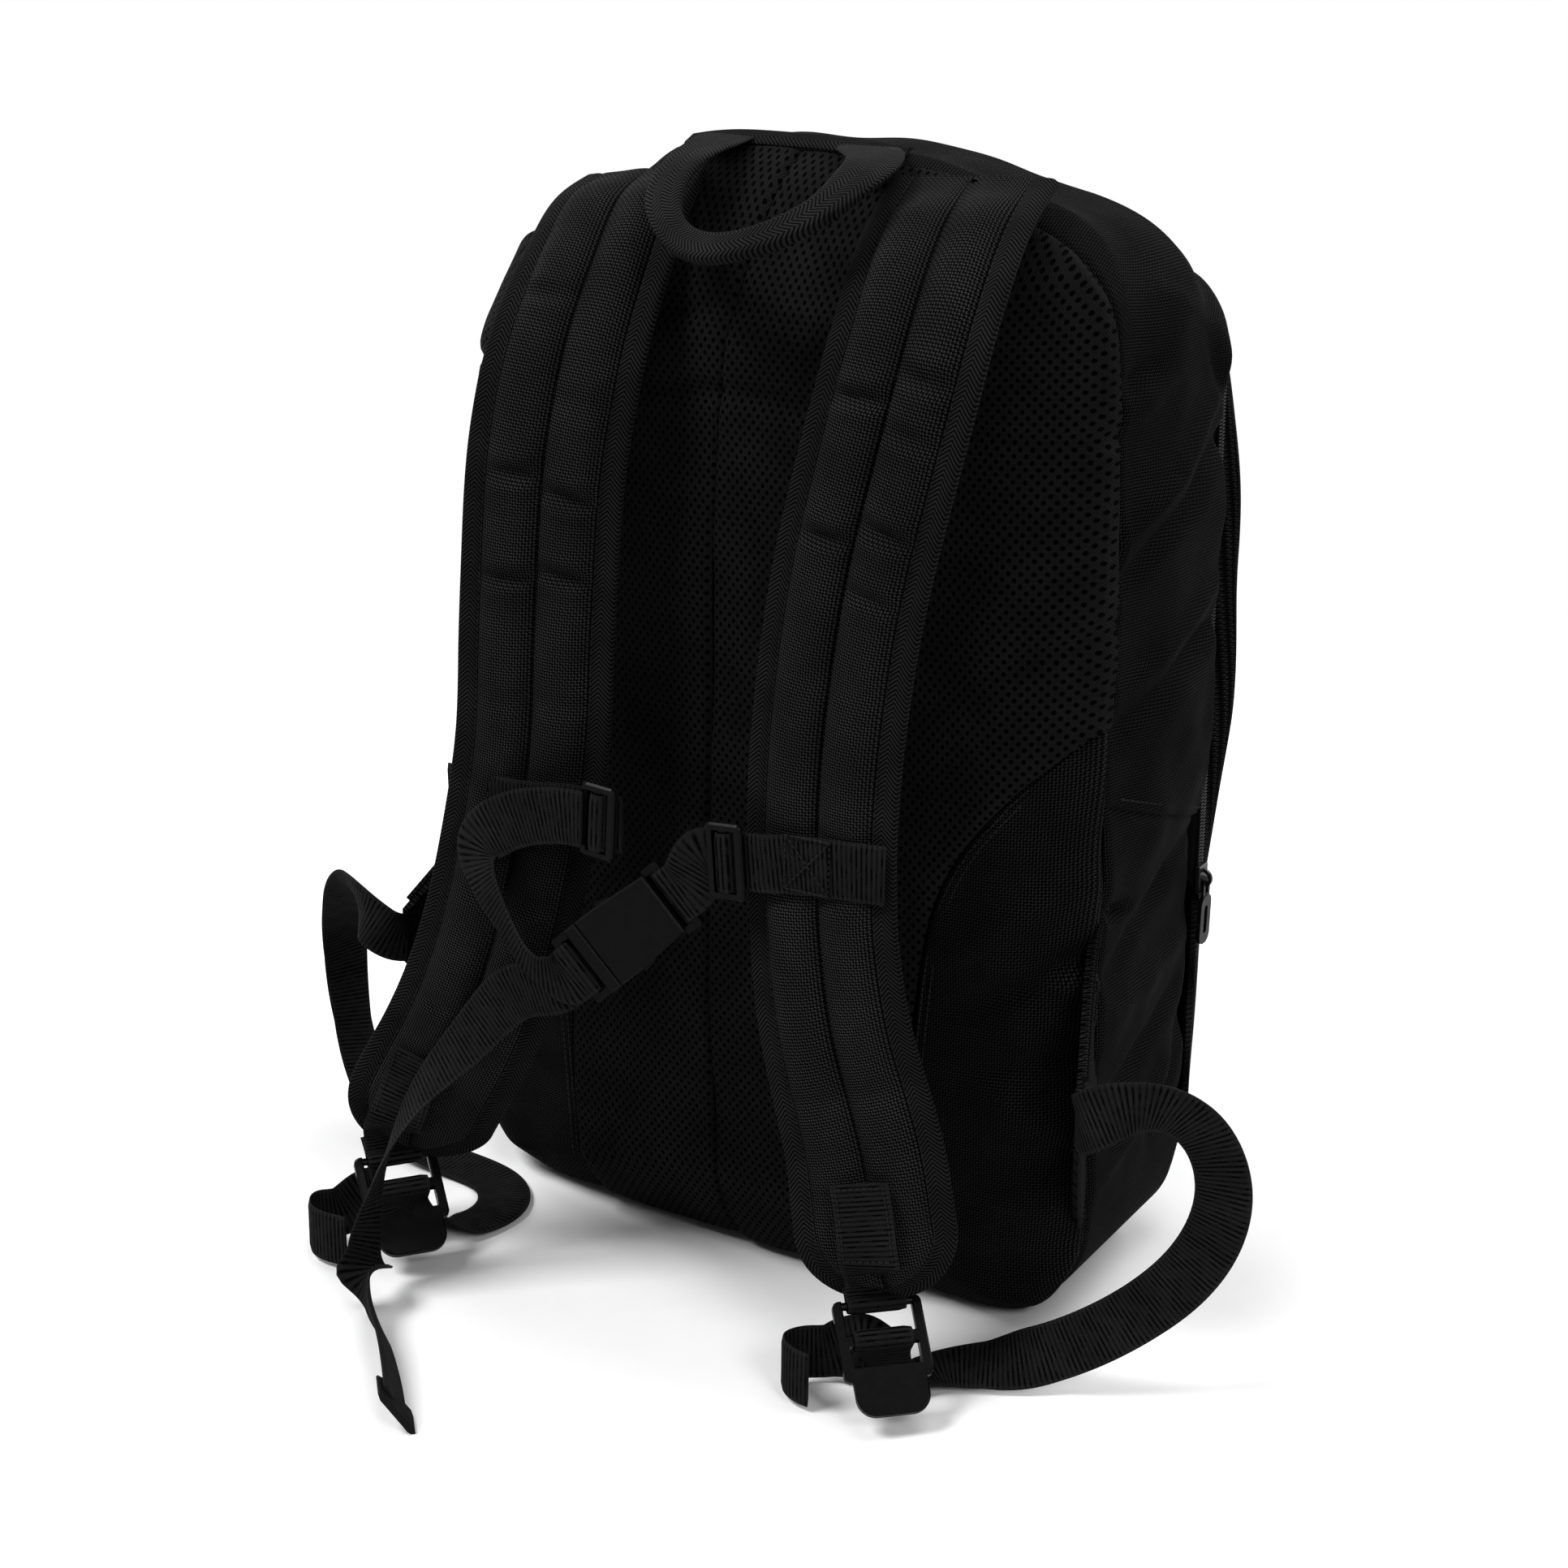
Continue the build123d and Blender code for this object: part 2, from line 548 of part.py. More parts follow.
def tab(plane, points, across):
    """A doubled webbing tab: a ring round the lock's top bar, and a tail sewn to the strap."""
    inner = LOCK_BAR / 2 + BAR_GAP
    side_view = Plane(origin=plane.origin, x_dir=plane.y_dir, z_dir=plane.x_dir)
    rise = plane.y_dir * 0.35 + plane.z_dir * 0.94
    first = plane.origin + rise * (inner + WEB_THICK - 0.3)
    with BuildPart() as loop:
        with BuildSketch(side_view):
            Circle(inner + WEB_THICK)
            Circle(inner, mode=Mode.SUBTRACT)
        extrude(amount=WEBBING / 2, both=True)
        add(ribbon([first, plane.origin + rise * 7] + points, [plane.x_dir] * 2 + across, 8, 2 * WEB_THICK))
    return loop.part


TAB_RIGHT = [(112, -160, 60), (103, -156.4, 86)]
TAB_LEFT = [(-134, -167.8, 60), (-123, -165.6, 86)]
keep("tab_right", tab(LOCK_RIGHT, TAB_RIGHT, [(0.9, 0.35, 0), (0.95, 0.25, 0)]))
keep("tab_left", tab(LOCK_LEFT, TAB_LEFT, [(0.9, 0.35, 0), (0.95, 0.25, 0)]))
for word, plane in (("left", LOCK_LEFT), ("right", LOCK_RIGHT)):
    keep("ladder_lock_" + word, ladder_lock(plane))
    keep("lock_webbing_" + word, bar_wrap(plane))


def local(plane, y, z):
    """A point on the middle line of a lock or buckle."""
    return plane.from_local_coords((0, y, z))


# ---- lower webbing: from each wing round to its lock, and the free ends ------------------------------------
WING_TIP = wing_plane.from_local_coords((WING_REACH + SEW_GAP, WING_APEX, 0))
LEFT_TIP = Vector(-WING_TIP.X, WING_TIP.Y, WING_TIP.Z)
LEFT_OUT = Vector(-WING_OUT.X, WING_OUT.Y, 0)
left_seam_line = Vector(-seam_line.X, 0, seam_line.Z)
LOOP_RIGHT = [WING_TIP, (183, -114, 128), (203, -107, 137), (222, -94, 129), (234, -89, 103), (228, -92, 70),
              (207, -99, 42), (172, -113, 17), (147, -121, 7), (127, -133, 3.5), (119, -147, 5)]
LOOP_RIGHT_ACROSS = [seam_line, (0, 0, 1), (0.3, 0, 0.9), (0.8, 0, 0.6), (1, 0, 0), (0.9, 0, -0.4),
                     (0.6, 0, -0.8), (0.4, -0.2, -0.9), (0.1, -0.9, -0.4), (0.7, -0.7, 0), (1, 0.1, 0)]
keep("webbing_loop_right", ribbon(
    LOOP_RIGHT + [local(LOCK_RIGHT, LEG_B, LEG_END)], LOOP_RIGHT_ACROSS + [LOCK_RIGHT.x_dir], 44,
    ends=(WING_OUT, LOCK_RIGHT.z_dir)))
UPRIGHT = (0, 0, 1)
TAIL_RIGHT = [local(LOCK_RIGHT, LEG_A, LEG_END), local(LOCK_RIGHT, LEG_A, LEG_END - 3), (104, -154, 20),
              (92, -159, 15), (82, -166, 14.5), (79, -174, 14.5), (86, -181, 14.5), (96, -183, 14.5)]
TAIL_RIGHT_ACROSS = [LOCK_RIGHT.x_dir] * 2 + [(0.6, 0.4, 0.7)] + [UPRIGHT] * 5
keep("webbing_tail_right", ribbon(TAIL_RIGHT, TAIL_RIGHT_ACROSS, 26, ends=(-LOCK_RIGHT.z_dir, (1, 0, 0))))

LOOP_LEFT = [LEFT_TIP, (-184, -114, 128), (-207, -102, 136), (-232, -79, 118), (-247, -65, 84), (-240, -70, 50),
             (-219, -82, 24), (-190, -92, 8), (-156, -93, 2.6), (-128, -98, 1.6), (-114, -116, 1.6), (-116, -137, 2.2),
             (-125, -153, 8)]
LOOP_LEFT_ACROSS = [-left_seam_line, (0, 0, -1), (-0.2, 0.6, -0.8), (0.4, 0.9, -0.3), (0.3, 1, 0), (0, 1, 0),
                    (0, 1, 0), (0, 1, 0), (0, 1, 0), (0.7, 0.7, 0), (1, 0.1, 0), (1, -0.1, 0), (0.9, 0.4, 0)]
keep("webbing_loop_left", ribbon(
    LOOP_LEFT + [local(LOCK_LEFT, LEG_B, LEG_END)], LOOP_LEFT_ACROSS + [LOCK_LEFT.x_dir], 52,
    ends=(LEFT_OUT, LOCK_LEFT.z_dir)))
TAIL_LEFT = [local(LOCK_LEFT, LEG_A, LEG_END), local(LOCK_LEFT, LEG_A, LEG_END - 3), (-148, -166.5, 22),
             (-158, -178, 15), (-165, -187, 14.5), (-160, -196, 14.5), (-148, -199, 14.5), (-138, -198, 14.5)]
TAIL_LEFT_ACROSS = [LOCK_LEFT.x_dir] * 2 + [(-0.4, -0.5, -0.7)] + [(0, 0, -1)] * 5
keep("webbing_tail_left", ribbon(TAIL_LEFT, TAIL_LEFT_ACROSS, 26, ends=(-LOCK_LEFT.z_dir, (1, 0.1, 0))))

# ---- sternum strap: bands on the pads, two triglides, webbing and a side-release buckle ----------------------
# frames with x across the webbing, y along it and z out of the face towards -Y
def strap_frame(origin, along, out=(0, -1, 0)):
    """Frame of a fitting on the sternum strap."""
    y = Vector(*along).normalized()
    z = (Vector(*out) - y * Vector(*out).dot(y)).normalized()
    return Plane(origin=origin, x_dir=y.cross(z), z_dir=z)


def triglide(plane):
    """Three-bar slider: a rounded frame with two slots."""
    slot = (TRIGLIDE_LENGTH - 3 * TRIGLIDE_RAIL) / 2
    with BuildPart() as glide:
        with BuildSketch(plane):
            RectangleRounded(TRIGLIDE_WIDTH, TRIGLIDE_LENGTH, 2.5)
            with GridLocations(1, TRIGLIDE_RAIL + slot, 1, 2):
                Rectangle(WEBBING + 2, slot, mode=Mode.SUBTRACT)
        extrude(amount=TRIGLIDE_THICK / 2, both=True)
        chamfer(face_outlines(glide.part, plane), EDGE_BREAK)
    return glide.part


def round_corner(y, z, start, turn):
    """Three points of a webbing's middle line, a quarter turn round the corner of a bar at (y, z)."""
    radius = WEB_THICK / 2 + RUN_CLEARANCE + 0.1
    angles = [math.radians(start + turn * step / 2) for step in range(3)]
    return [(y + radius * math.cos(angle), z + radius * math.sin(angle)) for angle in angles]


def threaded(plane, sign=1):
    """Points of a webbing that passes under a triglide's end bars and over its middle bar."""
    slot = (TRIGLIDE_LENGTH - 3 * TRIGLIDE_RAIL) / 2
    face = TRIGLIDE_THICK / 2
    end_bar = TRIGLIDE_RAIL / 2 + slot
    under = face + RUN_CLEARANCE + WEB_THICK / 2 + 0.1
    side = [(TRIGLIDE_LENGTH / 2 + 2, -under)] + round_corner(end_bar, -face, 270, -90)
    side += [(TRIGLIDE_RAIL / 2 + slot / 2, 0)] + round_corner(TRIGLIDE_RAIL / 2, face, 0, 90)
    steps = side + [(-y, z) for y, z in reversed(side)]
    return [local(plane, sign * y, z) for y, z in steps]


def over_bar(plane, bar, sign):
    """Points of a webbing that comes over a buckle's bar from outside and goes down through its slot."""
    edge = BUCKLE_BAR / 2
    steps = [(-edge, 2 + RUN_CLEARANCE + WEB_THICK / 2 + 0.1)] + round_corner(edge, 2, 90, -90)
    steps += [(edge + SLOT_IN, 0), (edge + SLOT_IN, -3.5)]
    return [local(plane, bar + sign * y, z) for y, z in steps]


SLOT_IN = WEB_THICK / 2 + RUN_CLEARANCE + 0.2       # webbing's middle line from a buckle's bar, in its slot
GLIDE_RIGHT = strap_frame((34, -152, 221), (1, 0.04, 0.08))
GLIDE_LEFT = strap_frame((-28, -154, 226), (1, 0, -0.05))
keep("triglide_right", triglide(GLIDE_RIGHT))
keep("triglide_left", triglide(GLIDE_LEFT))

MALE_BAR = Vector(-30, -166, 163)
BUCKLE_RUN = Vector(39.5, 15.2, 38.1)       # from the male bar to the female bar
buckle = strap_frame(MALE_BAR, BUCKLE_RUN, (0.26, -0.957, 0.11))
BAR_SPAN = BUCKLE_RUN.length
BUCKLE_BAR = 3.6
BASE_LENGTH = 12.5          # from the male bar's axis to the shoulder that meets the female half
MOUTH = BASE_LENGTH + RUN_CLEARANCE
CAVITY = BUCKLE_THICK - 2 * BUCKLE_WALL
CAVITY_DEPTH = 27.0
TONGUE_END = MOUTH + 23     # the guide tongue between the arms
MALE_SLOT = 4.2             # width of the slot beside the male bar
MALE_STEP = 0.6             # the male body is this much thinner than the female on each face
FEMALE_SLOT = 4.5
FRAME_HALF = 2.0            # half the thickness of the two bar frames
BODY_END = BAR_SPAN - BUCKLE_BAR / 2 - FEMALE_SLOT


def bar_frame(plane, bar_y, body_y, width):
    """A bar on two rails, joined to a buckle's body: webbing passes through the slot."""
    near, far = sorted((bar_y, body_y))
    edge = BUCKLE_BAR / 2
    low = near - (edge if bar_y == near else 0)
    high = far + (edge if bar_y == far else 0)
    slot_low = near + (edge if bar_y == near else 0)
    slot_high = far - (edge if bar_y == far else 0)
    with BuildSketch(plane) as frame:
        with Locations((0, (low + high) / 2)):
            RectangleRounded(width, high - low, 1.2)
        with Locations((0, (slot_low + slot_high) / 2)):
            Rectangle(WEBBING + 1.5, slot_high - slot_low, mode=Mode.SUBTRACT)
    return frame.sketch


with BuildPart() as male:
    extrude(bar_frame(buckle, 0, BUCKLE_BAR / 2 + MALE_SLOT, BUCKLE_WIDTH), amount=FRAME_HALF, both=True)
    with BuildSketch(buckle):
        with Locations((0, (BUCKLE_BAR / 2 + MALE_SLOT + BASE_LENGTH) / 2)):
            Rectangle(BUCKLE_WIDTH, BASE_LENGTH - BUCKLE_BAR / 2 - MALE_SLOT)
    extrude(amount=BUCKLE_THICK / 2 - MALE_STEP, both=True)
    chamfer(face_outlines(male.part, buckle), EDGE_BREAK)
    with BuildSketch(buckle):
        with BuildLine():
            Polyline((-3, BASE_LENGTH - 1), (3, BASE_LENGTH - 1), (2, TONGUE_END), (-2, TONGUE_END), close=True)
        make_face()
    extrude(amount=CAVITY / 2 - RUN_CLEARANCE, both=True)
keep("buckle_male", male.part)

# the two sprung arms: bowed prongs whose heads catch behind the mouth of the female half
ARM_ROOT = BASE_LENGTH + SEW_GAP
HEAD_START = 12.0           # from the mouth to the catch behind it
HEAD_LENGTH = 10.0
ARM_OUT = BUCKLE_WIDTH / 2 + 1.5
with BuildPart() as arms:
    with BuildSketch(buckle):
        with BuildLine():
            Polyline(
                (6.5, ARM_ROOT),
                (6.5 + ARM_WIDTH, ARM_ROOT),
                (9.5 + ARM_WIDTH / 2, MOUTH + HEAD_START),
                (ARM_OUT, MOUTH + HEAD_START + 0.2),
                (ARM_OUT - 1.5, MOUTH + HEAD_START + HEAD_LENGTH * 0.7),
                (8.5, MOUTH + HEAD_START + HEAD_LENGTH),
                (7.5, MOUTH + HEAD_START - 2),
                close=True,
            )
        make_face()
        mirror(about=Plane.YZ)
    extrude(amount=CAVITY / 2 - RUN_CLEARANCE, both=True)
keep("buckle_arms", arms.part)

with BuildPart() as female:
    with BuildSketch(buckle):
        with BuildLine():
            Polyline(
                (-BUCKLE_WIDTH / 2, MOUTH),
                (BUCKLE_WIDTH / 2, MOUTH),
                (BUCKLE_WIDTH / 2, MOUTH + HEAD_START - 1),
                (WEBBING / 2 + 2, BODY_END),
                (-WEBBING / 2 - 2, BODY_END),
                (-BUCKLE_WIDTH / 2, MOUTH + HEAD_START - 1),
                close=True,
            )
        make_face()
    extrude(amount=BUCKLE_THICK / 2, both=True)
    chamfer(face_outlines(female.part, buckle), EDGE_BREAK)
    with BuildSketch(buckle):
        with Locations((0, MOUTH - 1 + (CAVITY_DEPTH + 1) / 2)):
            Rectangle(BUCKLE_WIDTH - 2 * BUCKLE_WALL, CAVITY_DEPTH + 1)
        # side windows, through which the arms' heads stand out and are pressed
        with Locations((0, MOUTH + HEAD_START + HEAD_LENGTH / 2)):
            Rectangle(2 * BUCKLE_WIDTH, HEAD_LENGTH + 2 * RUN_CLEARANCE)
    extrude(amount=CAVITY / 2, both=True, mode=Mode.SUBTRACT)
    extrude(bar_frame(buckle, BAR_SPAN, BODY_END, WEBBING + 8), amount=FRAME_HALF, both=True)
keep("buckle_female", female.part)


# ---- sternum webbing ----------------------------------------------------------------------------------------
WEB_RIGHT = [(103, -142.4, 226.5), (86, -145.5, 226), (62, -147, 224)] + threaded(GLIDE_RIGHT)
WEB_RIGHT += [local(buckle, BAR_SPAN + 6, 3)] + over_bar(buckle, BAR_SPAN, -1)
WEB_RIGHT_ACROSS = [-GLIDE_RIGHT.x_dir] * 19 + [-buckle.x_dir] * 7
keep("sternum_webbing_right", ribbon(
    WEB_RIGHT, WEB_RIGHT_ACROSS, 110, ends=((-1, -0.25, 0), -buckle.z_dir)))

BAND_LEFT = [(-112, -146.6, 221), (-96, -150.4, 222), (-60, -152.2, 224)] + threaded(GLIDE_LEFT, -1)
keep("sternum_band_left", ribbon(BAND_LEFT, [-GLIDE_LEFT.x_dir] * 19, 90, ends=((1, -0.25, 0.05), (1, 0, 0))))
FOLD_LEFT = [local(GLIDE_LEFT, -TRIGLIDE_LENGTH / 2 + 2, 2.8), (-56, -157.6, 225), (-74, -158.4, 220),
             (-85, -161.5, 208), (-80, -166, 188), (-64, -170, 166), (-46, -171, 154), local(buckle, -6, 2)]
FOLD_LEFT += over_bar(buckle, 0, 1)
FOLD_ACROSS = [-GLIDE_LEFT.x_dir] * 2 + [(-0.5, 0, 0.86), (-0.87, 0, 0.5), (-0.87, 0, -0.5), (-0.64, 0, -0.77)]
FOLD_ACROSS += [(0.17, 0, -0.98)] + [buckle.x_dir] * 7
keep("sternum_webbing_left", ribbon(FOLD_LEFT, FOLD_ACROSS, 90, ends=((-1, 0, 0.05), -buckle.z_dir)))

TAIL_START = local(buckle, BUCKLE_BAR / 2 + SLOT_IN, -3.8)
STERNUM_TAIL = [TAIL_START, local(buckle, -3, -8), local(buckle, -16, -8), (-64, -162.5, 143), (-85, -165.5, 121),
                (-105, -170.5, 88), (-113, -179, 50), (-111, -192, 16), (-102, -206, 2.6), (-80, -231, 1.2),
                (-38, -277, 1.2)]
TAIL_ACROSS = [-buckle.x_dir] * 3 + [(-0.75, 0, 0.6), (-0.85, 0, 0.5), (-0.95, 0, 0.3), (-1, -0.1, 0.1)]
TAIL_ACROSS += [(-1, -0.3, 0), (-0.85, -0.5, 0), (-0.75, -0.65, 0), (-0.74, -0.67, 0)]
FLOOR_RUN = (42, -46, 0)
keep("sternum_tail", ribbon(STERNUM_TAIL, TAIL_ACROSS, 60, ends=(-buckle.z_dir, FLOOR_RUN)))
tip = Plane(origin=(-38, -277, 1.9), x_dir=Vector(*FLOOR_RUN), z_dir=(0, 0, 1))
with BuildPart() as tail_end:
    with BuildSketch(tip):
        with Locations((6.7, 0)):
            RectangleRounded(13, WEBBING, 1.2)
    extrude(amount=WEB_THICK, both=True)
keep("tail_end_fold", tail_end.part)

# ---- grab handle --------------------------------------------------------------------------------------------
HANDLE_END = 31.0           # half the distance between its sewn ends
HANDLE_SEAM = -48.0
HANDLE_Z = BAG_HEIGHT + 0.4 + WEB_THICK / 2
HANDLE = [(-HANDLE_END, HANDLE_SEAM, HANDLE_Z), (-34, -66, 504), (-41, -90, 501), (-36, -114, 488), (-14, -130, 475),
          (16, -134, 473), (40, -122, 482), (46, -94, 498), (37, -66, 504), (HANDLE_END, HANDLE_SEAM, HANDLE_Z)]
HANDLE_ACROSS = [(1, 0, 0), (1, 0, 0), (0.9, 0.2, 0.2), (0.5, 0.6, 0.5), (0.1, 0.7, 0.7), (0, 0.7, 0.7),
                 (-0.3, 0.7, 0.6), (-0.9, 0.3, 0.3), (-1, 0, 0), (-1, 0, 0)]
keep("grab_handle", ribbon(HANDLE, HANDLE_ACROSS, 36, ends=((0, -1, 0.1), (0, 1, -0.1)), fold=0.9))
with BuildPart() as handle_anchors:
    with BuildSketch(Plane.XY.offset(BAG_HEIGHT + 0.2)):
        with Locations((-HANDLE_END, HANDLE_SEAM + 10.4), (HANDLE_END, HANDLE_SEAM + 10.4)):
            RectangleRounded(WEBBING, 20, 1)
    extrude(amount=WEB_THICK)
keep("handle_anchors", handle_anchors.part)

os.makedirs("parts", exist_ok=True)
for name, part in parts.items():
    export_step(part, "parts/" + name + ".step")
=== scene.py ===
import logging
import math
import operator
from dataclasses import dataclass, field
from enum import Enum
from functools import reduce
from typing import Iterable, Sequence

import bpy
import numpy as np
from mathutils import Matrix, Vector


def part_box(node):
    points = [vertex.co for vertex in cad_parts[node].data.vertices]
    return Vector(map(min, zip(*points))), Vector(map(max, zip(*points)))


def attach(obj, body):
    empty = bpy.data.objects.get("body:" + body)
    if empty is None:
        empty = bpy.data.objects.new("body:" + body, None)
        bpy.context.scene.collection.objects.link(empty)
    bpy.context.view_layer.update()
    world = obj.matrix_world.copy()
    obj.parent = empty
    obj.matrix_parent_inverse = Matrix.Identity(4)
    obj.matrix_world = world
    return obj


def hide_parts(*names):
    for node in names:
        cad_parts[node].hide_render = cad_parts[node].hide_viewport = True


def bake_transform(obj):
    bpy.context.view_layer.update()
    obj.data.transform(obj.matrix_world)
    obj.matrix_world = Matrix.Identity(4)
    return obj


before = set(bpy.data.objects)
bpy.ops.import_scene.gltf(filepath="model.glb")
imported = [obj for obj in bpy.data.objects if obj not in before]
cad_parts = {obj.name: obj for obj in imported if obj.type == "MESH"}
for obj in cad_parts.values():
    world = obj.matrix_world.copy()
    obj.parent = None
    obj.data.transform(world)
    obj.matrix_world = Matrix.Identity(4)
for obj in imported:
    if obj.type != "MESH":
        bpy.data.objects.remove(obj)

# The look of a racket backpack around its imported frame.
#
# Lengths are millimetres until a mesh is made. +X is to the right of someone who faces the harness, -Y is the
# harness side, +Z is up, and the base stands at Z = 0.

MM = 0.001
WEBBING_WIDTH = 25.0
WEBBING_THICK = 1.6
STITCH_SHARP = 30.0
INSIDE = (0, 0, 250)
Array = np.ndarray
Point = Sequence[float]
log = logging.getLogger("racket_backpack")
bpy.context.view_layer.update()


class Body(str, Enum):
    """The bodies of the frame that whole pieces ride on."""

    BAG = "bag"
    FLAP = "flap"
    LOCK_LEFT = "lock_left"
    LOCK_RIGHT = "lock_right"


class Side(Enum):
    """A side of the bag, as the sign of its X."""

    LEFT = -1
    RIGHT = 1

    @property
    def word(self) -> str:
        """The side's name in piece names."""
        return self.name.lower()


# ---- shader maths -----------------------------------------------------------------------------------------
class Link:
    """A shader value that Python expressions can be written with."""

    def __init__(self, paint: "Paint", socket: bpy.types.NodeSocket) -> None:
        """Wraps an output socket of one of the material's nodes."""
        self.paint = paint
        self.socket = socket

    def maths(self, operation: str, *values: object) -> "Link":
        """Adds a Math node.

        Args:
            operation: The node's operation.
            values: Its inputs in order, as links or numbers.

        Returns:
            The node's result.
        """
        node = self.paint.node("ShaderNodeMath", {"operation": operation}, dict(enumerate(values)))
        return Link(self.paint, node.outputs[0])

    def __add__(self, other: object) -> "Link":
        """Sum."""
        return self.maths("ADD", self, other)

    __radd__ = __add__

    def __mul__(self, other: object) -> "Link":
        """Product."""
        return self.maths("MULTIPLY", self, other)

    __rmul__ = __mul__

    def __sub__(self, other: object) -> "Link":
        """Difference."""
        return self.maths("SUBTRACT", self, other)

    def __rsub__(self, other: object) -> "Link":
        """Reflected difference."""
        return self.maths("SUBTRACT", other, self)

    def __truediv__(self, other: object) -> "Link":
        """Quotient."""
        return self.maths("DIVIDE", self, other)

    def __abs__(self) -> "Link":
        """Magnitude."""
        return self.maths("ABSOLUTE", self)

    def wave(self) -> "Link":
        """Cosine of pi times the value."""
        return self.maths("COSINE", self * math.pi)

    def floor(self) -> "Link":
        """Largest whole number not above the value."""
        return self.maths("FLOOR", self)

    def fraction(self) -> "Link":
        """What is left over the floor."""
        return self.maths("FRACT", self)

    def larger(self, other: object) -> "Link":
        """The larger of two values."""
        return self.maths("MAXIMUM", self, other)

    def root(self) -> "Link":
        """Square root."""
        return self.maths("SQRT", self)

    def between(self, low: float, high: float) -> "Link":
        """A smooth rise from 0 to 1 between two values.

        Args:
            low: Where the result is 0; it may be the higher value.
            high: Where the result is 1.

        Returns:
            The risen value.
        """
        start, end = (0.0, 1.0) if low < high else (1.0, 0.0)
        values = {"Value": self, "From Min": min(low, high), "From Max": max(low, high),
                  "To Min": start, "To Max": end}
        node = self.paint.node("ShaderNodeMapRange", {"interpolation_type": "SMOOTHSTEP"}, values)
        return Link(self.paint, node.outputs[0])


class Paint:
    """Builds the nodes of one material."""

    def __init__(self, name: str) -> None:
        """Starts a material with no nodes.

        Args:
            name: The material's name.
        """
        self.material = bpy.data.materials.new(name)
        self.material.use_nodes = True
        self.tree = self.material.node_tree
        self.tree.nodes.clear()

    def node(self, kind: str, settings: dict | None = None, values: dict | None = None) -> bpy.types.Node:
        """Adds a node.

        Args:
            kind: The node's type.
            settings: Its properties.
            values: Numbers, colours or links for its inputs, by name or number.

        Returns:
            The node.
        """
        node = self.tree.nodes.new(kind)
        for key, value in (settings or {}).items():
            setattr(node, key, value)
        for key, value in (values or {}).items():
            if isinstance(value, Link):
                self.tree.links.new(value.socket, node.inputs[key])
            else:
                node.inputs[key].default_value = value
        return node

    def place(self) -> tuple[Link, Link]:
        """Reads where a point lies on its cloth.

        Returns:
            Millimetres across and along the cloth.
        """
        uv = self.node("ShaderNodeUVMap", {"uv_map": "cloth"})
        split = self.node("ShaderNodeSeparateXYZ", {}, {0: Link(self, uv.outputs[0])})
        return Link(self, split.outputs[0]) / MM, Link(self, split.outputs[1]) / MM

    def noise(self, scale: float, detail: float = 3.0) -> Link:
        """Noise in the object's own space.

        Args:
            scale: Waves a metre.
            detail: Octaves of finer noise.

        Returns:
            The noise, 0 to 1.
        """
        spot = self.node("ShaderNodeTexCoord")
        values = {"Vector": Link(self, spot.outputs["Object"]), "Scale": scale, "Detail": detail}
        return Link(self, self.node("ShaderNodeTexNoise", {}, values).outputs[0])

    def mix(self, share: Link, low: Point, high: Point) -> Link:
        """A colour between two others."""
        node = self.node("ShaderNodeMix", {"data_type": "RGBA"}, {0: share, 6: (*low, 1.0), 7: (*high, 1.0)})
        return Link(self, node.outputs[2])

    def finish(self, values: dict, height: Link, relief: float) -> bpy.types.Material:
        """Closes the material with a Principled shader.

        Args:
            values: The shader's inputs by name.
            height: The surface's relief, 0 to 1.
            relief: How high 1 is, in millimetres.

        Returns:
            The material.
        """
        bump = self.node("ShaderNodeBump", {}, {"Height": height, "Distance": relief * MM, "Strength": 1.0})
        shader = self.node("ShaderNodeBsdfPrincipled", {}, {**values, "Normal": Link(self, bump.outputs[0])})
        out = self.node("ShaderNodeOutputMaterial")
        self.tree.links.new(shader.outputs[0], out.inputs[0])
        return self.material


# ---- finishes ---------------------------------------------------------------------------------------------
@dataclass(frozen=True)
class Cloth:
    """A black woven or knitted cloth. Subclasses say how its yarns lie."""

    name: str
    slot: str
    shade: float = 0.026
    roughness: float = 0.72
    specular: float = 0.006
    relief: float = 0.42

    def yarns(self, u: Link, v: Link) -> tuple[Link, Link]:
        """How the yarns lie at a place.

        Args:
            u: Millimetres across the cloth.
            v: Millimetres along the cloth.

        Returns:
            Height and tone, 0 to 1.
        """
        raise NotImplementedError

    def material(self) -> bpy.types.Material:
        """Builds the cloth's material: its colour runs from a painted shade where the yarns dip to the
        cloth's own shade on them.

        Returns:
            The material.
        """
        paint = Paint(self.name)
        height, tone = self.yarns(*paint.place())
        dust = paint.noise(45.0).between(0.25, 0.8)
        # Painted shade: where the yarns dip, the colour falls to 3 percent of the cloth's own shade, as
        # shadow between them.
        painted_gap_shade = [self.shade * part for part in (0.03, 0.03, 0.032)]
        lit = [self.shade * part for part in (1.0, 1.0, 1.03)]
        tone = tone * (dust * 0.35 + 0.65)
        values = {
            "Base Color": paint.mix(tone, painted_gap_shade, lit),
            "Roughness": self.roughness - tone * 0.16,
            "Specular IOR Level": self.specular,
        }
        return paint.finish(values, height, self.relief)


@dataclass(frozen=True)
class PlainWeave(Cloth):
    """Over and under, one yarn at a time."""

    pitch: float = 1.15
    rib: float = 1.1

    def yarns(self, u: Link, v: Link) -> tuple[Link, Link]:
        """Each yarn is a ridge that rises and dips along its length, a step out of phase with the next.

        Args:
            u: Millimetres across the cloth.
            v: Millimetres along the cloth.

        Returns:
            Height and tone, 0 to 1.
        """
        across = u / self.pitch
        along = v / (self.pitch * self.rib)
        warp = abs(across.wave()) * ((along + across.floor()).wave() * 0.5 + 0.5)
        weft = abs(along.wave()) * ((across + along.floor() + 1.0).wave() * 0.5 + 0.5)
        height = warp.larger(weft)
        return height, height.between(0.35, 1.0)


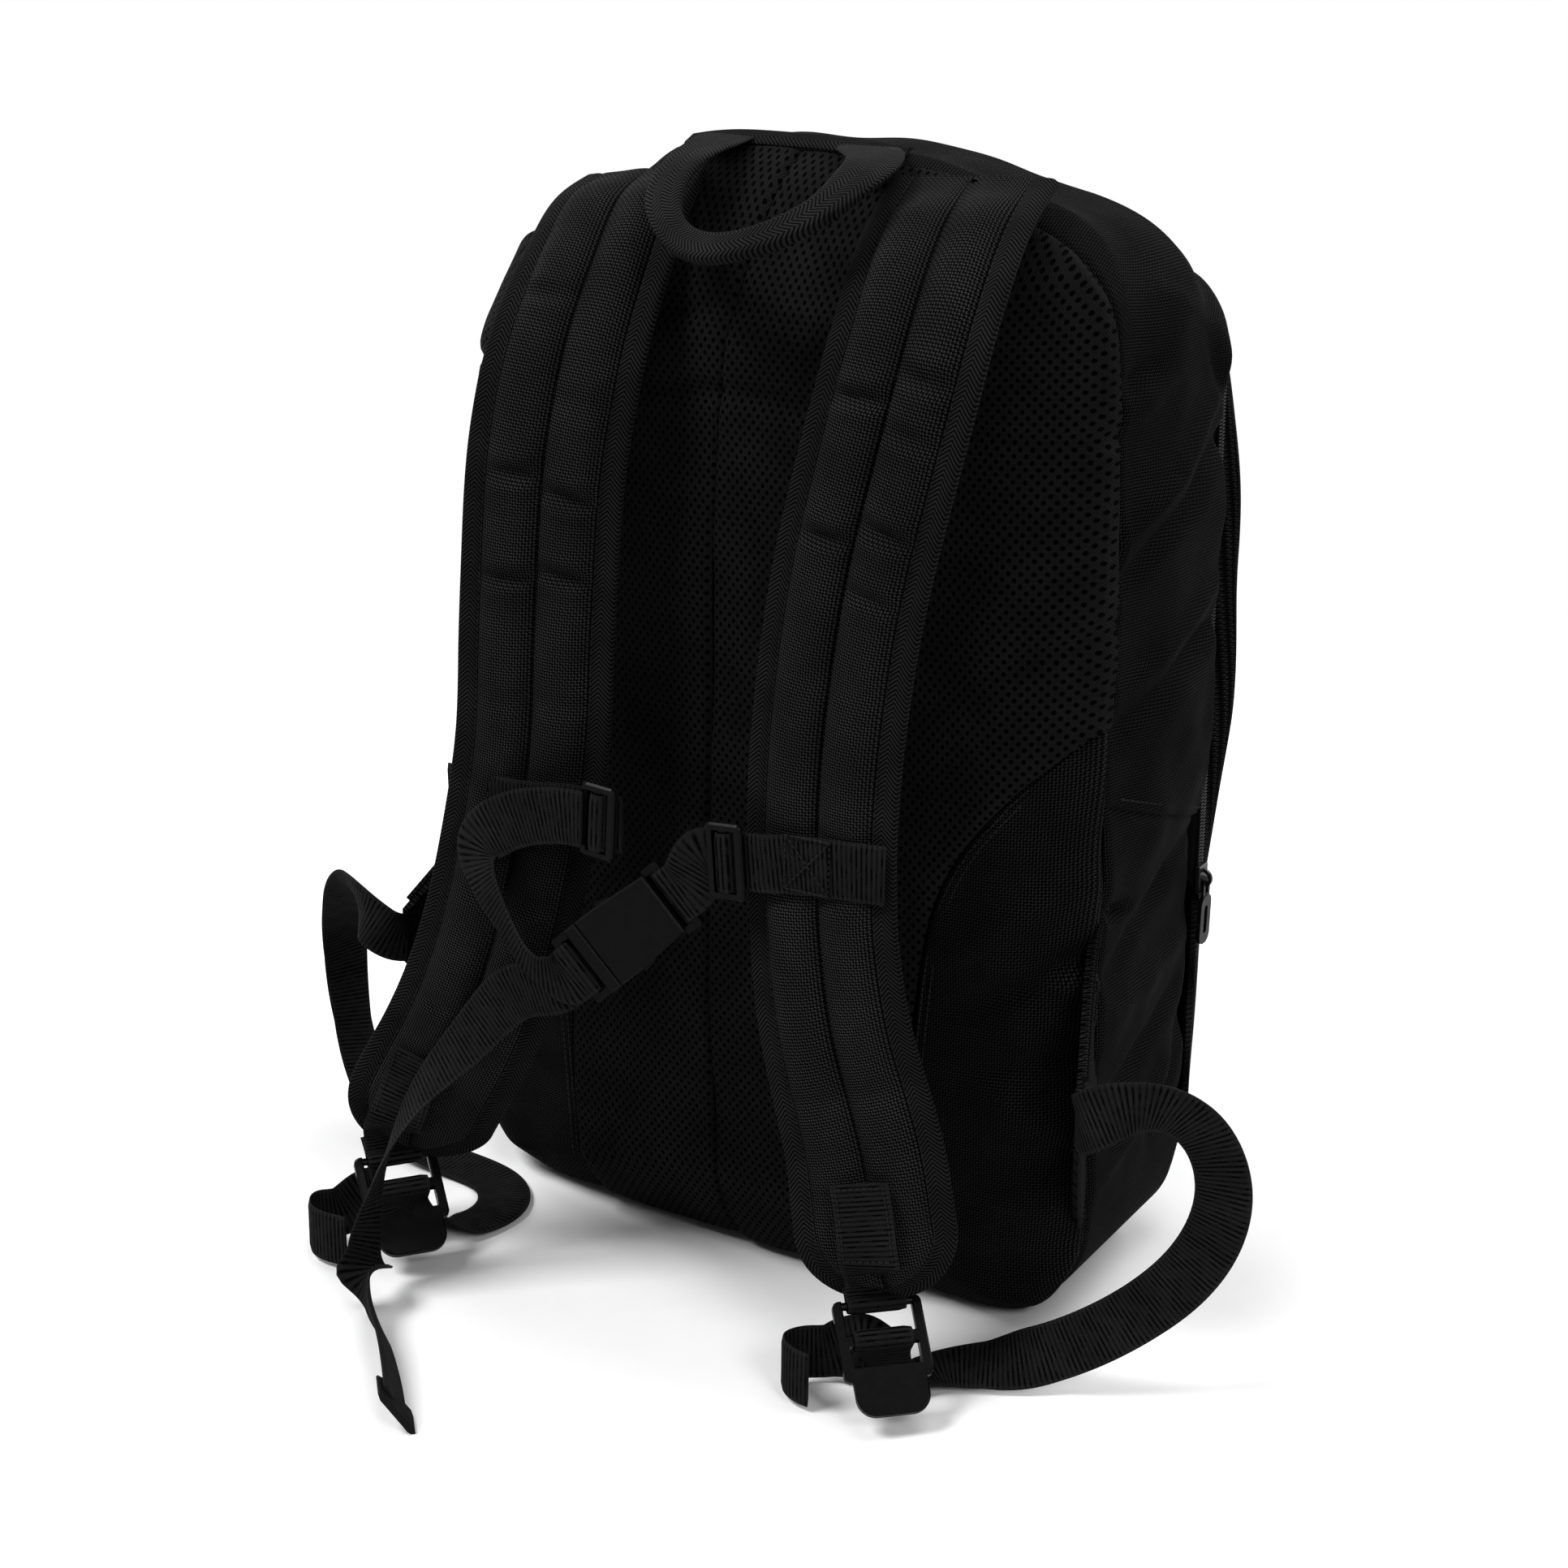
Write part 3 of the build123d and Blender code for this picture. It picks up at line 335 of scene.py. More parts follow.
@dataclass(frozen=True)
class AirMesh(Cloth):
    """Spacer mesh: a knit with staggered rows of oval holes."""

    pitch_u: float = 4.1
    pitch_v: float = 2.6
    hole_u: float = 0.72
    hole_v: float = 0.95

    def yarns(self, u: Link, v: Link) -> tuple[Link, Link]:
        """A hole lies at the middle of each cell, and every second row is shifted by half a cell. The holes
        are painted shade, not openings.

        Args:
            u: Millimetres across the cloth.
            v: Millimetres along the cloth.

        Returns:
            Height and tone, 0 to 1.
        """
        row = v / self.pitch_v
        shift = (row.floor() * 0.5).fraction()
        x = ((u / self.pitch_u + shift).fraction() - 0.5) * (self.pitch_u / self.hole_u)
        y = (row.fraction() - 0.5) * (self.pitch_v / self.hole_v)
        hole = (x * x + y * y).root().between(1.25, 0.7)
        knit = abs((u / 0.8 + v / 1.5).wave()) * 0.5 + abs((u / 0.8 - v / 1.5).wave()) * 0.5
        solid = 1.0 - hole
        # Holes get a tone of 0, so they are painted dark as painted shade; the mesh stays closed there.
        return solid * (0.65 + knit * 0.35), solid * (0.3 + knit * 0.45)


@dataclass(frozen=True)
class Herringbone(Cloth):
    """A tape whose ribs run out from its middle to both edges."""

    pitch: float = 1.5
    slant: float = 1.0
    columns: float = 8.0

    def yarns(self, u: Link, v: Link) -> tuple[Link, Link]:
        """Ribs follow v plus the distance from the nearest column's middle.

        Args:
            u: Millimetres across the cloth.
            v: Millimetres along the cloth.

        Returns:
            Height and tone, 0 to 1.
        """
        fold = abs((u / self.columns).fraction() - 0.5) * (self.columns * self.slant)
        rib = abs(((v + fold) / self.pitch).wave())
        yarn = abs((u / 0.5).wave())
        height = rib * 0.75 + yarn * 0.25
        return height, height.between(0.3, 0.95)


@dataclass(frozen=True)
class Webbing(Cloth):
    """Flat webbing: weft ribs straight across, fine warp ends along, and a raised tonal zigzag."""

    pitch: float = 2.1
    motif: float = 12.6

    def yarns(self, u: Link, v: Link) -> tuple[Link, Link]:
        """Ribs across, half hidden where a zigzag band floats over them.

        Args:
            u: Millimetres across the cloth.
            v: Millimetres along the cloth.

        Returns:
            Height and tone, 0 to 1.
        """
        rib = abs((v / self.pitch).wave())
        warp = abs((u / 0.62).wave())
        zigzag = ((v + abs((u / 12.5).fraction() - 0.5) * 14.0) / self.motif).fraction()
        floats = abs(zigzag - 0.5).between(0.3, 0.2)
        edge = abs(u).between(10.6, 11.6)
        ground = rib * 0.7 + warp * 0.3
        height = ground * (1.0 - floats * 0.3) + floats * (warp * 0.3 + 0.1) + edge * 0.25
        return height, height.between(0.3, 0.95)


@dataclass(frozen=True)
class Lining(Cloth):
    """Smooth close lining cloth."""

    def yarns(self, u: Link, v: Link) -> tuple[Link, Link]:
        """A fine twill line."""
        line = abs(((u + v) / 0.45).wave())
        return line, line.between(0.0, 1.0)


@dataclass(frozen=True)
class Hard:
    """Moulded plastic or lacquered metal."""

    name: str
    slot: str
    shade: float = 0.0025
    roughness: float = 0.2
    metallic: float = 0.0
    specular: float = 0.05
    grain: float = 0.015

    def material(self) -> bpy.types.Material:
        """Builds the material: fine spark grain, and scuffs that change the gloss a little.

        Returns:
            The material.
        """
        paint = Paint(self.name)
        grain = paint.noise(2600.0, 2.0)
        scuff = paint.noise(260.0, 4.0).between(0.3, 0.8)
        low = [self.shade] * 3
        high = [self.shade * 1.4] * 3
        values = {
            "Base Color": paint.mix(scuff, low, high),
            "Roughness": scuff * 0.05 + (grain * 0.04 + self.roughness),
            "Metallic": self.metallic,
            "Specular IOR Level": self.specular,
        }
        return paint.finish(values, grain, self.grain)


class Finishes:
    """Every finish of the bag, built once."""

    def __init__(self) -> None:
        """Makes the materials, and notes the record's slot of each."""
        kinds = {
            "woven": PlainWeave("woven_600", "shell_fabric", shade=0.022),
            "corner": PlainWeave("woven_corner", "corner_fabric", shade=0.024),
            "gusset": PlainWeave("ribbed_gusset", "shell_fabric", pitch=0.9, rib=1.5, shade=0.026),
            "strap": PlainWeave("woven_strap", "strap_fabric", shade=0.046),
            "mesh": AirMesh("air_mesh", "air_mesh", shade=0.017, relief=1.0),
            "lining_mesh": AirMesh("lining_mesh", "lining_mesh", shade=0.018, pitch_u=2.6, pitch_v=1.9,
                                   hole_u=0.5, hole_v=0.6),
            "binding": Herringbone("binding_tape", "binding_tape", shade=0.018, pitch=1.9, columns=10.0,
                                   relief=0.35),
            "webbing": Webbing("webbing", "webbing", shade=0.017, roughness=0.7, specular=0.008),
            "handle": Herringbone("handle_webbing", "webbing", shade=0.02, roughness=0.7, specular=0.008,
                                  pitch=2.0, columns=8.0, relief=0.4),
            "thread": Lining("thread", "webbing", shade=0.02, relief=0.05),
            "tape": PlainWeave("zip_tape", "zip_teeth", pitch=0.6, shade=0.012),
            "lining": Lining("lining", "lining_fabric", shade=0.05, roughness=0.6, relief=0.05),
            "acetal": Hard("acetal", "acetal"),
            "metal": Hard("slider_metal", "slider_metal", shade=0.012, metallic=0.5, roughness=0.26),
            "pull": Hard("pull_plastic", "pull_plastic", roughness=0.28),
            "teeth": Hard("zip_coil", "zip_teeth", shade=0.006, roughness=0.4, specular=0.1),
            "sheet": Hard("frame_plastic", "frame_plastic", shade=0.02, roughness=0.45),
        }
        self.slots = {key: kind.slot for key, kind in kinds.items()}
        self.materials = {key: kind.material() for key, kind in kinds.items()}


# ---- meshes -----------------------------------------------------------------------------------------------
@dataclass
class Skin:
    """A mesh before Blender has it: points and cloth places in millimetres, and quads."""

    points: Array
    quads: Array
    places: Array

    def outward(self) -> "Skin":
        """Turns every quad if the closed mesh has a negative volume.

        Returns:
            The mesh with its faces outwards.
        """
        a, b, c, d = (self.points[self.quads[:, i]] for i in range(4))
        volume = sum(np.einsum("ij,ij->i", a, turn).sum() for turn in (np.cross(b, c), np.cross(c, d)))
        return self if volume >= 0 else Skin(self.points, self.quads[:, ::-1], self.places)

    def __add__(self, other: "Skin") -> "Skin":
        """Both meshes as one.

        Args:
            other: The mesh that comes second.

        Returns:
            The joined mesh.
        """
        quads = np.concatenate([self.quads, other.quads + len(self.points)])
        return Skin(np.concatenate([self.points, other.points]), quads,
                    np.concatenate([self.places, other.places]))


def joined(skins: Iterable[Skin]) -> Skin:
    """Several meshes as one, in order."""
    return reduce(operator.add, skins)


def lengths(points: Array) -> Array:
    """Distance along a line of points, from 0 at the first."""
    return np.concatenate([[0], np.cumsum(np.linalg.norm(np.diff(points, axis=0), axis=1))])


def read_at(where: Array, run: Array, values: Array) -> Array:
    """Vectors given at distances run, read linearly at other distances."""
    return np.stack([np.interp(where, run, values[:, i]) for i in range(3)], -1)


def unit(vectors: Array) -> Array:
    """Vectors at length 1."""
    vectors = np.asarray(vectors, float)
    return vectors / np.maximum(np.linalg.norm(vectors, axis=-1, keepdims=True), 1e-9)


def loft(rows: Array, places: Array) -> Skin:
    """Joins closed outlines, row by row, and caps both ends.

    Args:
        rows: Outlines, (rows, points, 3). Point j of an outline faces point -1 - j.
        places: Cloth places of the points, (rows, points, 2).

    Returns:
        The closed mesh.
    """
    count, size = rows.shape[:2]
    index = np.arange(count * size).reshape(count, size)
    a, b = index[:-1], index[1:]
    j = np.arange(size // 2 - 1)
    quads = [
        np.stack([a, np.roll(a, -1, 1), np.roll(b, -1, 1), b], -1).reshape(-1, 4),
        index[0][np.stack([j + 1, j, size - 1 - j, size - 2 - j], -1)],
        index[-1][np.stack([j, j + 1, size - 2 - j, size - 1 - j], -1)],
    ]
    return Skin(rows.reshape(-1, 3), np.concatenate(quads), places.reshape(-1, 2)).outward()


def grid_normals(points: Array, centre: Point = INSIDE) -> Array:
    """Normals of a grid: the cross product of its two slopes, turned away from a centre.

    Args:
        points: The grid, (rows, columns, 3).
        centre: A point behind the surface.

    Returns:
        Unit normals of the grid's shape.
    """
    normal = unit(np.cross(np.gradient(points, axis=0), np.gradient(points, axis=1)))
    side = np.sign(np.einsum("ijk,ijk->ij", normal, points - np.asarray(centre, float)).mean())
    return normal * (side or 1.0)


def edge_distance(points: Array) -> tuple[Array, Array, Array, Array]:
    """How far each grid point lies from the grid's four edges, over the grid.

    Args:
        points: The grid, (rows, columns, 3).

    Returns:
        Distances from the first row, last row, first column and last column.
    """
    def run(axis: int) -> Array:
        """Distance along one axis of the grid: the running sum of its steps.

        Args:
            axis: 0 down the rows, 1 over the columns.

        Returns:
            Distances of the grid's shape.
        """
        step = np.linalg.norm(np.diff(points, axis=axis), axis=-1)
        start = np.zeros_like(np.take(step, [0], axis=axis))
        return np.cumsum(np.concatenate([start, step], axis=axis), axis=axis)

    down, over = run(0), run(1)
    return down, down[-1:] - down, over, over[:, -1:] - over


def panel(points: Array, thickness: float, places: Array, lift: Array | float = 0.0,
          roll: Sequence[float] = (2, 2, 2, 2), depth: float = 2.0, centre: Point = INSIDE) -> Skin:
    """A sewn panel: a grid surface moved along its normals, rolled in at its seams, and given a thickness.

    Args:
        points: The surface's grid, (rows, columns, 3).
        thickness: How thick the panel is.
        places: Cloth places, (rows, columns, 2).
        lift: Displacement along the normals.
        roll: Width of the roll-in at the first row, last row, first column and last column; 0 for none.
        depth: How far a seam lies under the surface.
        centre: A point inside the bag.

    Returns:
        The closed mesh. Roll-in is depth times the square of (1 - distance / width).
    """
    normal = grid_normals(points, centre)
    sink = np.zeros(points.shape[:2])
    for distance, width in zip(edge_distance(points), roll):
        if width:
            sink = np.maximum(sink, depth * np.clip(1 - distance / width, 0, 1) ** 2)
    outer = points + normal * (lift - sink)[..., None]
    inner = outer - grid_normals(outer, centre) * thickness
    rows = np.concatenate([outer, inner[:, ::-1]], axis=1)
    return loft(rows, np.concatenate([places, places[:, ::-1]], axis=1))


@dataclass(frozen=True)
class Crease:
    """A fold from a to b on a panel's own plane; depth is negative for a valley."""

    a: tuple[float, float]
    b: tuple[float, float]
    width: float
    depth: float


def creased(where: Array, creases: Sequence[Crease]) -> Array:
    """Displacement of a panel by its creases.

    Args:
        where: Plane coordinates, (..., 2).
        creases: The folds.

    Returns:
        The sum over creases of depth times exp(-(distance / width) squared), fading to the crease's ends.
    """
    total = np.zeros(where.shape[:-1])
    for crease in creases:
        a, b = np.array(crease.a, float), np.array(crease.b, float)
        share = np.clip(((where - a) @ (b - a)) / ((b - a) @ (b - a)), 0, 1)
        gap = np.linalg.norm(where - (a + share[..., None] * (b - a)), axis=-1)
        fade = 0.35 + 0.65 * np.sin(np.pi * np.clip(share, 0.02, 0.98)) ** 0.7
        total += 1.6 * crease.depth * fade * np.exp(-((gap / (0.8 * crease.width)) ** 2))
    return total


def rumple(where: Array, size: float, depth: float, seed: int, count: int = 9) -> Array:
    """Soft unevenness: sines of about one wavelength in seeded directions, summed.

    Args:
        where: Plane coordinates, (..., 2).
        size: The wavelength.
        depth: About how high the sum is.
        seed: Seed of directions, phases and wavelengths.
        count: How many sines.

    Returns:
        Displacement at each place.
    """
    dice = np.random.default_rng(seed)
    angle = dice.uniform(0, 2 * np.pi, count)
    phase = dice.uniform(0, 2 * np.pi, count)
    wave = size * dice.uniform(0.7, 1.8, count)
    along = where[..., 0, None] * np.cos(angle) + where[..., 1, None] * np.sin(angle)
    return depth * np.sin(2 * np.pi * along / wave + phase).sum(-1) / math.sqrt(count)


# ---- paths ------------------------------------------------------------------------------------------------
@dataclass(frozen=True)
class Track:
    """Places along a strip: middle line, directions along, across and out of its face, and distance."""

    centre: Array
    along: Array
    across: Array
    face: Array
    run: Array

    def at(self, x: Array, y: Array) -> Array:
        """Points beside the middle line: x across and y out of the face, (stations, points)."""
        return self.centre[:, None] + x[..., None] * self.across[:, None] + y[..., None] * self.face[:, None]


def spline(points: Array, where: Array, knots: Array, ends: Sequence[Point] | None) -> Array:
    """A cubic spline through points: its second derivatives solve one linear system.

    Args:
        points: What it passes through, (points, 3).
        where: Parameters to read it at.
        knots: The points' own parameters.
        ends: Unit tangents at both ends, or None for straight ends.

    Returns:
        Points on the spline.
    """
    count, gap = len(points), np.diff(knots)[:, None]
    slope = np.diff(points, axis=0) / gap
    system, right = np.zeros((count, count)), np.zeros((count, 3))
    rows = np.arange(1, count - 1)
    system[rows, rows - 1] = gap[:-1, 0]
    system[rows, rows] = 2 * (gap[:-1, 0] + gap[1:, 0])
    system[rows, rows + 1] = gap[1:, 0]
    right[1:-1] = 6 * (slope[1:] - slope[:-1])
    if ends is None:
        system[0, 0] = system[-1, -1] = 1
    else:
        system[0, :2] = 2 * gap[0, 0], gap[0, 0]
        system[-1, -2:] = gap[-1, 0], 2 * gap[-1, 0]
        right[0] = 6 * (slope[0] - unit(np.array(ends[0], float)))
        right[-1] = 6 * (unit(np.array(ends[1], float)) - slope[-1])
    bend = np.linalg.solve(system, right)
    k = np.clip(np.searchsorted(knots, where, side="right") - 1, 0, count - 2)
    h = gap[k]
    a = (knots[k + 1] - where)[:, None]
    b = (where - knots[k])[:, None]
    return (bend[k] * a**3 + bend[k + 1] * b**3) / (6 * h) + (points[k] / h - bend[k] * h / 6) * a + (
        points[k + 1] / h - bend[k + 1] * h / 6) * b


def squared(direction: Array, along: Array) -> Array:
    """The part of each direction that is square to along."""
    return unit(direction - along * np.einsum("ij,ij->i", direction, along)[:, None])


def track(points: Sequence[Point], across: Sequence[Point], count: int,
          ends: Sequence[Point] | None = None) -> Track:
    """A strip's places along a smooth path.

    Args:
        points: What the path passes through.
        across: The width direction at each of them.
        count: Number of stations.
        ends: Directions of the path at its ends.

    Returns:
        The track; width directions run linearly between the given ones and stay square to the path.
    """
    points, across = np.array(points, float), np.array(across, float)
    knots = lengths(points)
    where = np.linspace(0, knots[-1], count)
    centre = spline(points, where, knots, ends)
    along = unit(np.gradient(centre, where, axis=0))
    step = 0.05
    at_points = unit(spline(points, np.minimum(knots + step, knots[-1]), knots, ends)
                     - spline(points, np.maximum(knots - step, 0), knots, ends))
    width = squared(read_at(where, knots, squared(across, at_points)), along)
    return Track(centre, along, width, np.cross(along, width), lengths(centre))


def strip(path: Track, x: Array, y: Array) -> Skin:
    """Carries a closed section along a track.

    Args:
        path: The track.
        x: Places across the strip, (stations or 1, points); also u on the cloth.
        y: Places out of the strip's face, (stations or 1, points).

    Returns:
        The closed mesh.
    """
    count = len(path.run)
    x, y = np.broadcast_to(x, (count, x.shape[-1])), np.broadcast_to(y, (count, y.shape[-1]))
    places = np.stack([x, np.broadcast_to(path.run[:, None], x.shape)], -1)
    return loft(path.at(x, y), places)


def flat_section(width: float = WEBBING_WIDTH, thick: float = WEBBING_THICK,
                 columns: int = 9) -> tuple[Array, Array]:
    """A flat strip's section: rounded edges, and selvedges a sixth thicker in a bell near the edge.

    Args:
        width: The strip's width.
        thick: Its thickness.
        columns: Points on each face.

    Returns:
        x and y, (1, points).
    """
    x = np.linspace(-1, 1, columns)
    bulge = 1 + 0.16 * np.exp(-(((np.abs(x) - 0.86) / 0.1) ** 2))
    y = thick / 2 * bulge * np.sqrt(np.clip(1 - np.abs(x) ** 14, 0.1, 1))
    return np.concatenate([x, x[::-1]])[None] * width / 2, np.concatenate([y, -y[::-1]])[None]


BOX = np.array([(x, y, z) for x in (-0.5, 0.5) for y in (-0.5, 0.5) for z in (-0.5, 0.5)])
BOX_QUADS = np.array([(0, 1, 3, 2), (4, 6, 7, 5), (0, 4, 5, 1), (2, 3, 7, 6), (0, 2, 6, 4), (1, 5, 7, 3)])


def scattered(places: Array, along: Array, up: Array, size: Point) -> Skin:
    """Many small blocks at place + x along + y sideways + z up, narrower on top, as stitches are.

    Args:
        places: Middles of the blocks, (blocks, 3).
        along: Their directions.
        up: Their up-vectors.
        size: Length, width and height of a block.

    Returns:
        All blocks as one mesh.
    """
    side = np.cross(up, along)
    shape = BOX * np.array(size)
    shape[:, 1] *= np.where(BOX[:, 2] > 0, 0.6, 1.0)
    axes = np.stack([unit(along), unit(side), unit(up)], 1)
    points = places[:, None] + shape @ axes
    quads = (BOX_QUADS[None] + 8 * np.arange(len(places))[:, None, None]).reshape(-1, 4)
    cloth = np.zeros((points.shape[0] * 8, 2))
    return Skin(points.reshape(-1, 3), quads, cloth).outward()


def seam(path: Array, up: Array, pitch: float = 3.4, thick: float = 0.45) -> Skin:
    """A row of evenly spaced stitches.

    Args:
        path: The line that they follow, (points, 3).
        up: The cloth's outward direction at each point.
        pitch: From one stitch to the next.
        thick: A stitch's thickness.

    Returns:
        The stitches as one mesh.
    """
    run = lengths(path)
    where = np.arange(pitch / 2, run[-1], pitch)
    here = read_at(where, run, path)
    there = read_at(np.minimum(where + 0.5, run[-1]), run, path)
    rise = unit(read_at(where, run, up))
    return scattered(here, unit(there - here + 1e-9), rise, (pitch * 0.7, thick * 1.5, thick))


class Workshop:
    """Makes Blender pieces out of skins, and reports each one."""

    def __init__(self, finishes: Finishes) -> None:
        """Takes the finishes that its pieces may have."""
        self.finishes = finishes

    def piece(self, name: str, skin: Skin, finish: str, body: Body | None = Body.BAG,
              stands_for: Sequence[str] = (), sharp: float = 50.0) -> bpy.types.Object:
        """Makes one piece.

        Args:
            name: The piece's name.
            skin: Its mesh.
            finish: Key of its finish.
            body: The body that it rides on, or None if it is blended later.
            stands_for: CAD nodes that it replaces.
            sharp: Angle in degrees above which an edge stays sharp.

        Returns:
            The object, at the origin.
        """
        mesh = bpy.data.meshes.new(name)
        count = len(skin.quads)
        mesh.vertices.add(len(skin.points))
        mesh.vertices.foreach_set("co", (skin.points * MM).astype(np.float32).ravel())
        mesh.loops.add(4 * count)
        mesh.loops.foreach_set("vertex_index", skin.quads.astype(np.int32).ravel())
        mesh.polygons.add(count)
        mesh.polygons.foreach_set("loop_start", np.arange(0, 4 * count, 4, dtype=np.int32))
        mesh.polygons.foreach_set("loop_total", np.full(count, 4, dtype=np.int32))
        mesh.polygons.foreach_set("use_smooth", np.ones(count, bool))
        layer = mesh.uv_layers.new(name="cloth")
        layer.data.foreach_set("uv", (skin.places[skin.quads] * MM).astype(np.float32).ravel())
        mesh.update(calc_edges=True)
        mesh.validate()
        mesh.set_sharp_from_angle(angle=math.radians(sharp))
        mesh.materials.append(self.finishes.materials[finish])
        made = bpy.data.objects.new(name, mesh)
        bpy.context.scene.collection.objects.link(made)
        if body:
            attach(made, body.value)
        if stands_for:
            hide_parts(*stands_for)
        log.info("%s: %d faces, %s", name, count, finish)
        return made

    def dress(self, node: str, finish: str) -> None:
        """Gives a CAD node its material.

        Args:
            node: The node's name.
            finish: Key of the finish.
        """
        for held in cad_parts[node].material_slots:
            held.material = self.finishes.materials[finish]
        log.info("%s keeps its shape, %s", node, finish)


# ---- the bag's form ---------------------------------------------------------------------------------------
def ease(value: Array, low: float, high: float) -> Array:
    """0 below low, 1 above high, and 3t^2 - 2t^3 between."""
    t = np.clip((value - low) / (high - low), 0, 1)
    return t * t * (3 - 2 * t)


@dataclass(frozen=True)
class BagForm:
    """The standing bag as height fields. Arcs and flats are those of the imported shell."""

    height: float = 500.0
    width: float = 322.0
    top_width: float = 300.0
    front_y: float = 75.0
    back_y: float = -97.0
    crown: float = 22.0
    crown_half: float = 166.0
    bottom_radius: float = 42.0
    top_radius: float = 64.0
    back_roll: float = 38.0
    front_roll: float = 20.0
    bulge: float = 9.5
    sag: float = 6.5
    shoulder_sag: float = 11.0
    seam_y: float = 50.0
    chain: float = 6.0
    tape: float = 11.0
    zip_low: float = 166.0
    yoke_low: float = 434.0
    base_high: float = 44.0

    def side(self, z: Array) -> Array:
        """Half the width at a height: the sides taper evenly."""
        return self.width / 2 - (self.width - self.top_width) / 2 * z / self.height

    def back_seam(self, z: Array) -> Array:
        """Y of the seam between back and gusset: it comes forward round the hips of the bag."""
        heights = [0, 60, 140, 240, 340, 410, 450, 475, 500]
        return np.interp(z, heights, [-60, -53, -49, -47, -46, -50, -57, -63, -64])

    def top(self, y: Array) -> Array:
        """Height of the top: a flat between two arcs.

        Args:
            y: Depths.

        Returns:
            Heights.
        """
        front = 385 + np.sqrt(np.clip(129.5**2 - (y + 54.5) ** 2, 0, None))
        back = 395 + np.sqrt(np.clip(127.7**2 - (27.7 - y) ** 2, 0, None))
        return np.minimum(np.where(y > 5, front, self.height), np.where(y < -45, back, self.height))

    def bottom(self, y: Array) -> Array:
        """Height of the underside at a depth: flat, rising in an arc towards the front."""
        return np.where(y > 38, 105 - np.sqrt(np.clip(167.5**2 - (y + 92.5) ** 2, 0, None)), 0.0)

    def front(self, z: Array) -> Array:
        """Y of the front face on the middle line: a flat between two arcs.

        Args:
            z: Heights.

        Returns:
            Depths.
        """
        high = -54.5 + np.sqrt(np.clip(129.5**2 - (z - 385) ** 2, 0, None))
        low = -92.5 + np.sqrt(np.clip(167.5**2 - (105 - z) ** 2, 0, None))
        return np.where(z > 385, high, np.where(z < 105, low, self.front_y))

    def rim(self, z: Array, y: Array) -> Array:
        """Half the width of the rounded outline: the side, with an arc at each corner.

        Args:
            z: Heights.
            y: Depths.

        Returns:
            Half widths.
        """
        head, corner = self.top_radius, self.bottom_radius
        high, foot = self.top(y) - head, self.bottom(y) + corner
        up = self.side(high) - head + np.sqrt(np.clip(head**2 - (z - high) ** 2, 0, None))
        down = self.side(foot) - corner + np.sqrt(np.clip(corner**2 - (foot - z) ** 2, 0, None))
        return np.where(z > high, up, np.where(z < foot, down, self.side(z)))

    def over_top(self, q: Array, y: Array) -> Array:
        """Points reached from the middle of the top, over the shoulder's arc and down the side.

        Args:
            q: Distances; negative ones go to the left.
            y: Depths.

        Returns:
            Points.
        """
        high = self.top(y) - self.top_radius
        flat = self.side(high) - self.top_radius
        far = np.abs(q)
        turn = np.clip((far - flat) / self.top_radius, 0, np.pi / 2)
        drop = np.clip(far - flat - self.top_radius * np.pi / 2, 0, None)
        z = high + self.top_radius * np.cos(turn) - drop
        x = np.where(far < flat, far, flat + self.top_radius * np.sin(turn))
        return np.stack([np.sign(q) * np.where(drop > 0, self.side(z), x), y + 0 * z, z], -1)

    def from_top(self, z: Array, y: Array) -> Array:
        """Distance over the top and down to a height, the inverse of over_top.

        Args:
            z: Heights.
            y: Depths.

        Returns:
            Distances.
        """
        high = self.top(y) - self.top_radius
        flat = self.side(high) - self.top_radius
        turn = np.arccos(np.clip((z - high) / self.top_radius, 0, 1))
        return flat + self.top_radius * turn + np.clip(high - z, 0, None)

    def under_base(self, q: Array, y: Array) -> Array:
        """Points reached from the middle of the base, round the corner's arc and up the side.

        Args:
            q: Distances; negative ones go to the left.
            y: Depths.

        Returns:
            Points.
        """
        foot = self.bottom(y) + self.bottom_radius
        flat = self.side(foot) - self.bottom_radius
        far = np.abs(q)
        turn = np.clip((far - flat) / self.bottom_radius, 0, np.pi / 2)
        rise = np.clip(far - flat - self.bottom_radius * np.pi / 2, 0, None)
        z = foot - self.bottom_radius * np.cos(turn) + rise
        x = np.where(far < flat, far, flat + self.bottom_radius * np.sin(turn))
        return np.stack([np.sign(q) * np.where(rise > 0, self.side(z), x), y + 0 * z, z], -1)

    def from_base(self, z: Array, y: Array) -> Array:
        """Distance under the base and up to a height, the inverse of under_base.

        Args:
            z: Heights.
            y: Depths.

        Returns:
            Distances.
        """
        foot = self.bottom(y) + self.bottom_radius
        flat = self.side(foot) - self.bottom_radius
        turn = np.arccos(np.clip((foot - z) / self.bottom_radius, 0, 1))
        return flat + self.bottom_radius * turn + np.clip(z - foot, 0, None)

    def back(self, x: Array, z: Array) -> Array:
        """Y of the back: a crown that rolls over at top and base, with full round edges down the sides.

        Args:
            x: Places across.
            z: Heights.

        Returns:
            Depths.
        """
        crown = self.back_y + self.crown * (x / self.crown_half) ** 2
        high = 27.7 - np.sqrt(np.clip(127.7**2 - (z - 395) ** 2, 0, None))
        low = -3.3 - np.sqrt(np.clip(96.7**2 - (70 - z) ** 2, 0, None))
        roll = np.where(z > 395, high, np.where(z < 70, low, self.back_y - 3))
        y = np.maximum(crown, roll)
        edge = self.back_seam(z)
        inside = np.clip((self.rim(z, edge) - np.abs(x)) / self.back_roll, 0, 1)
        return edge + (y - edge) * np.sqrt(1 - (1 - inside) ** 2)

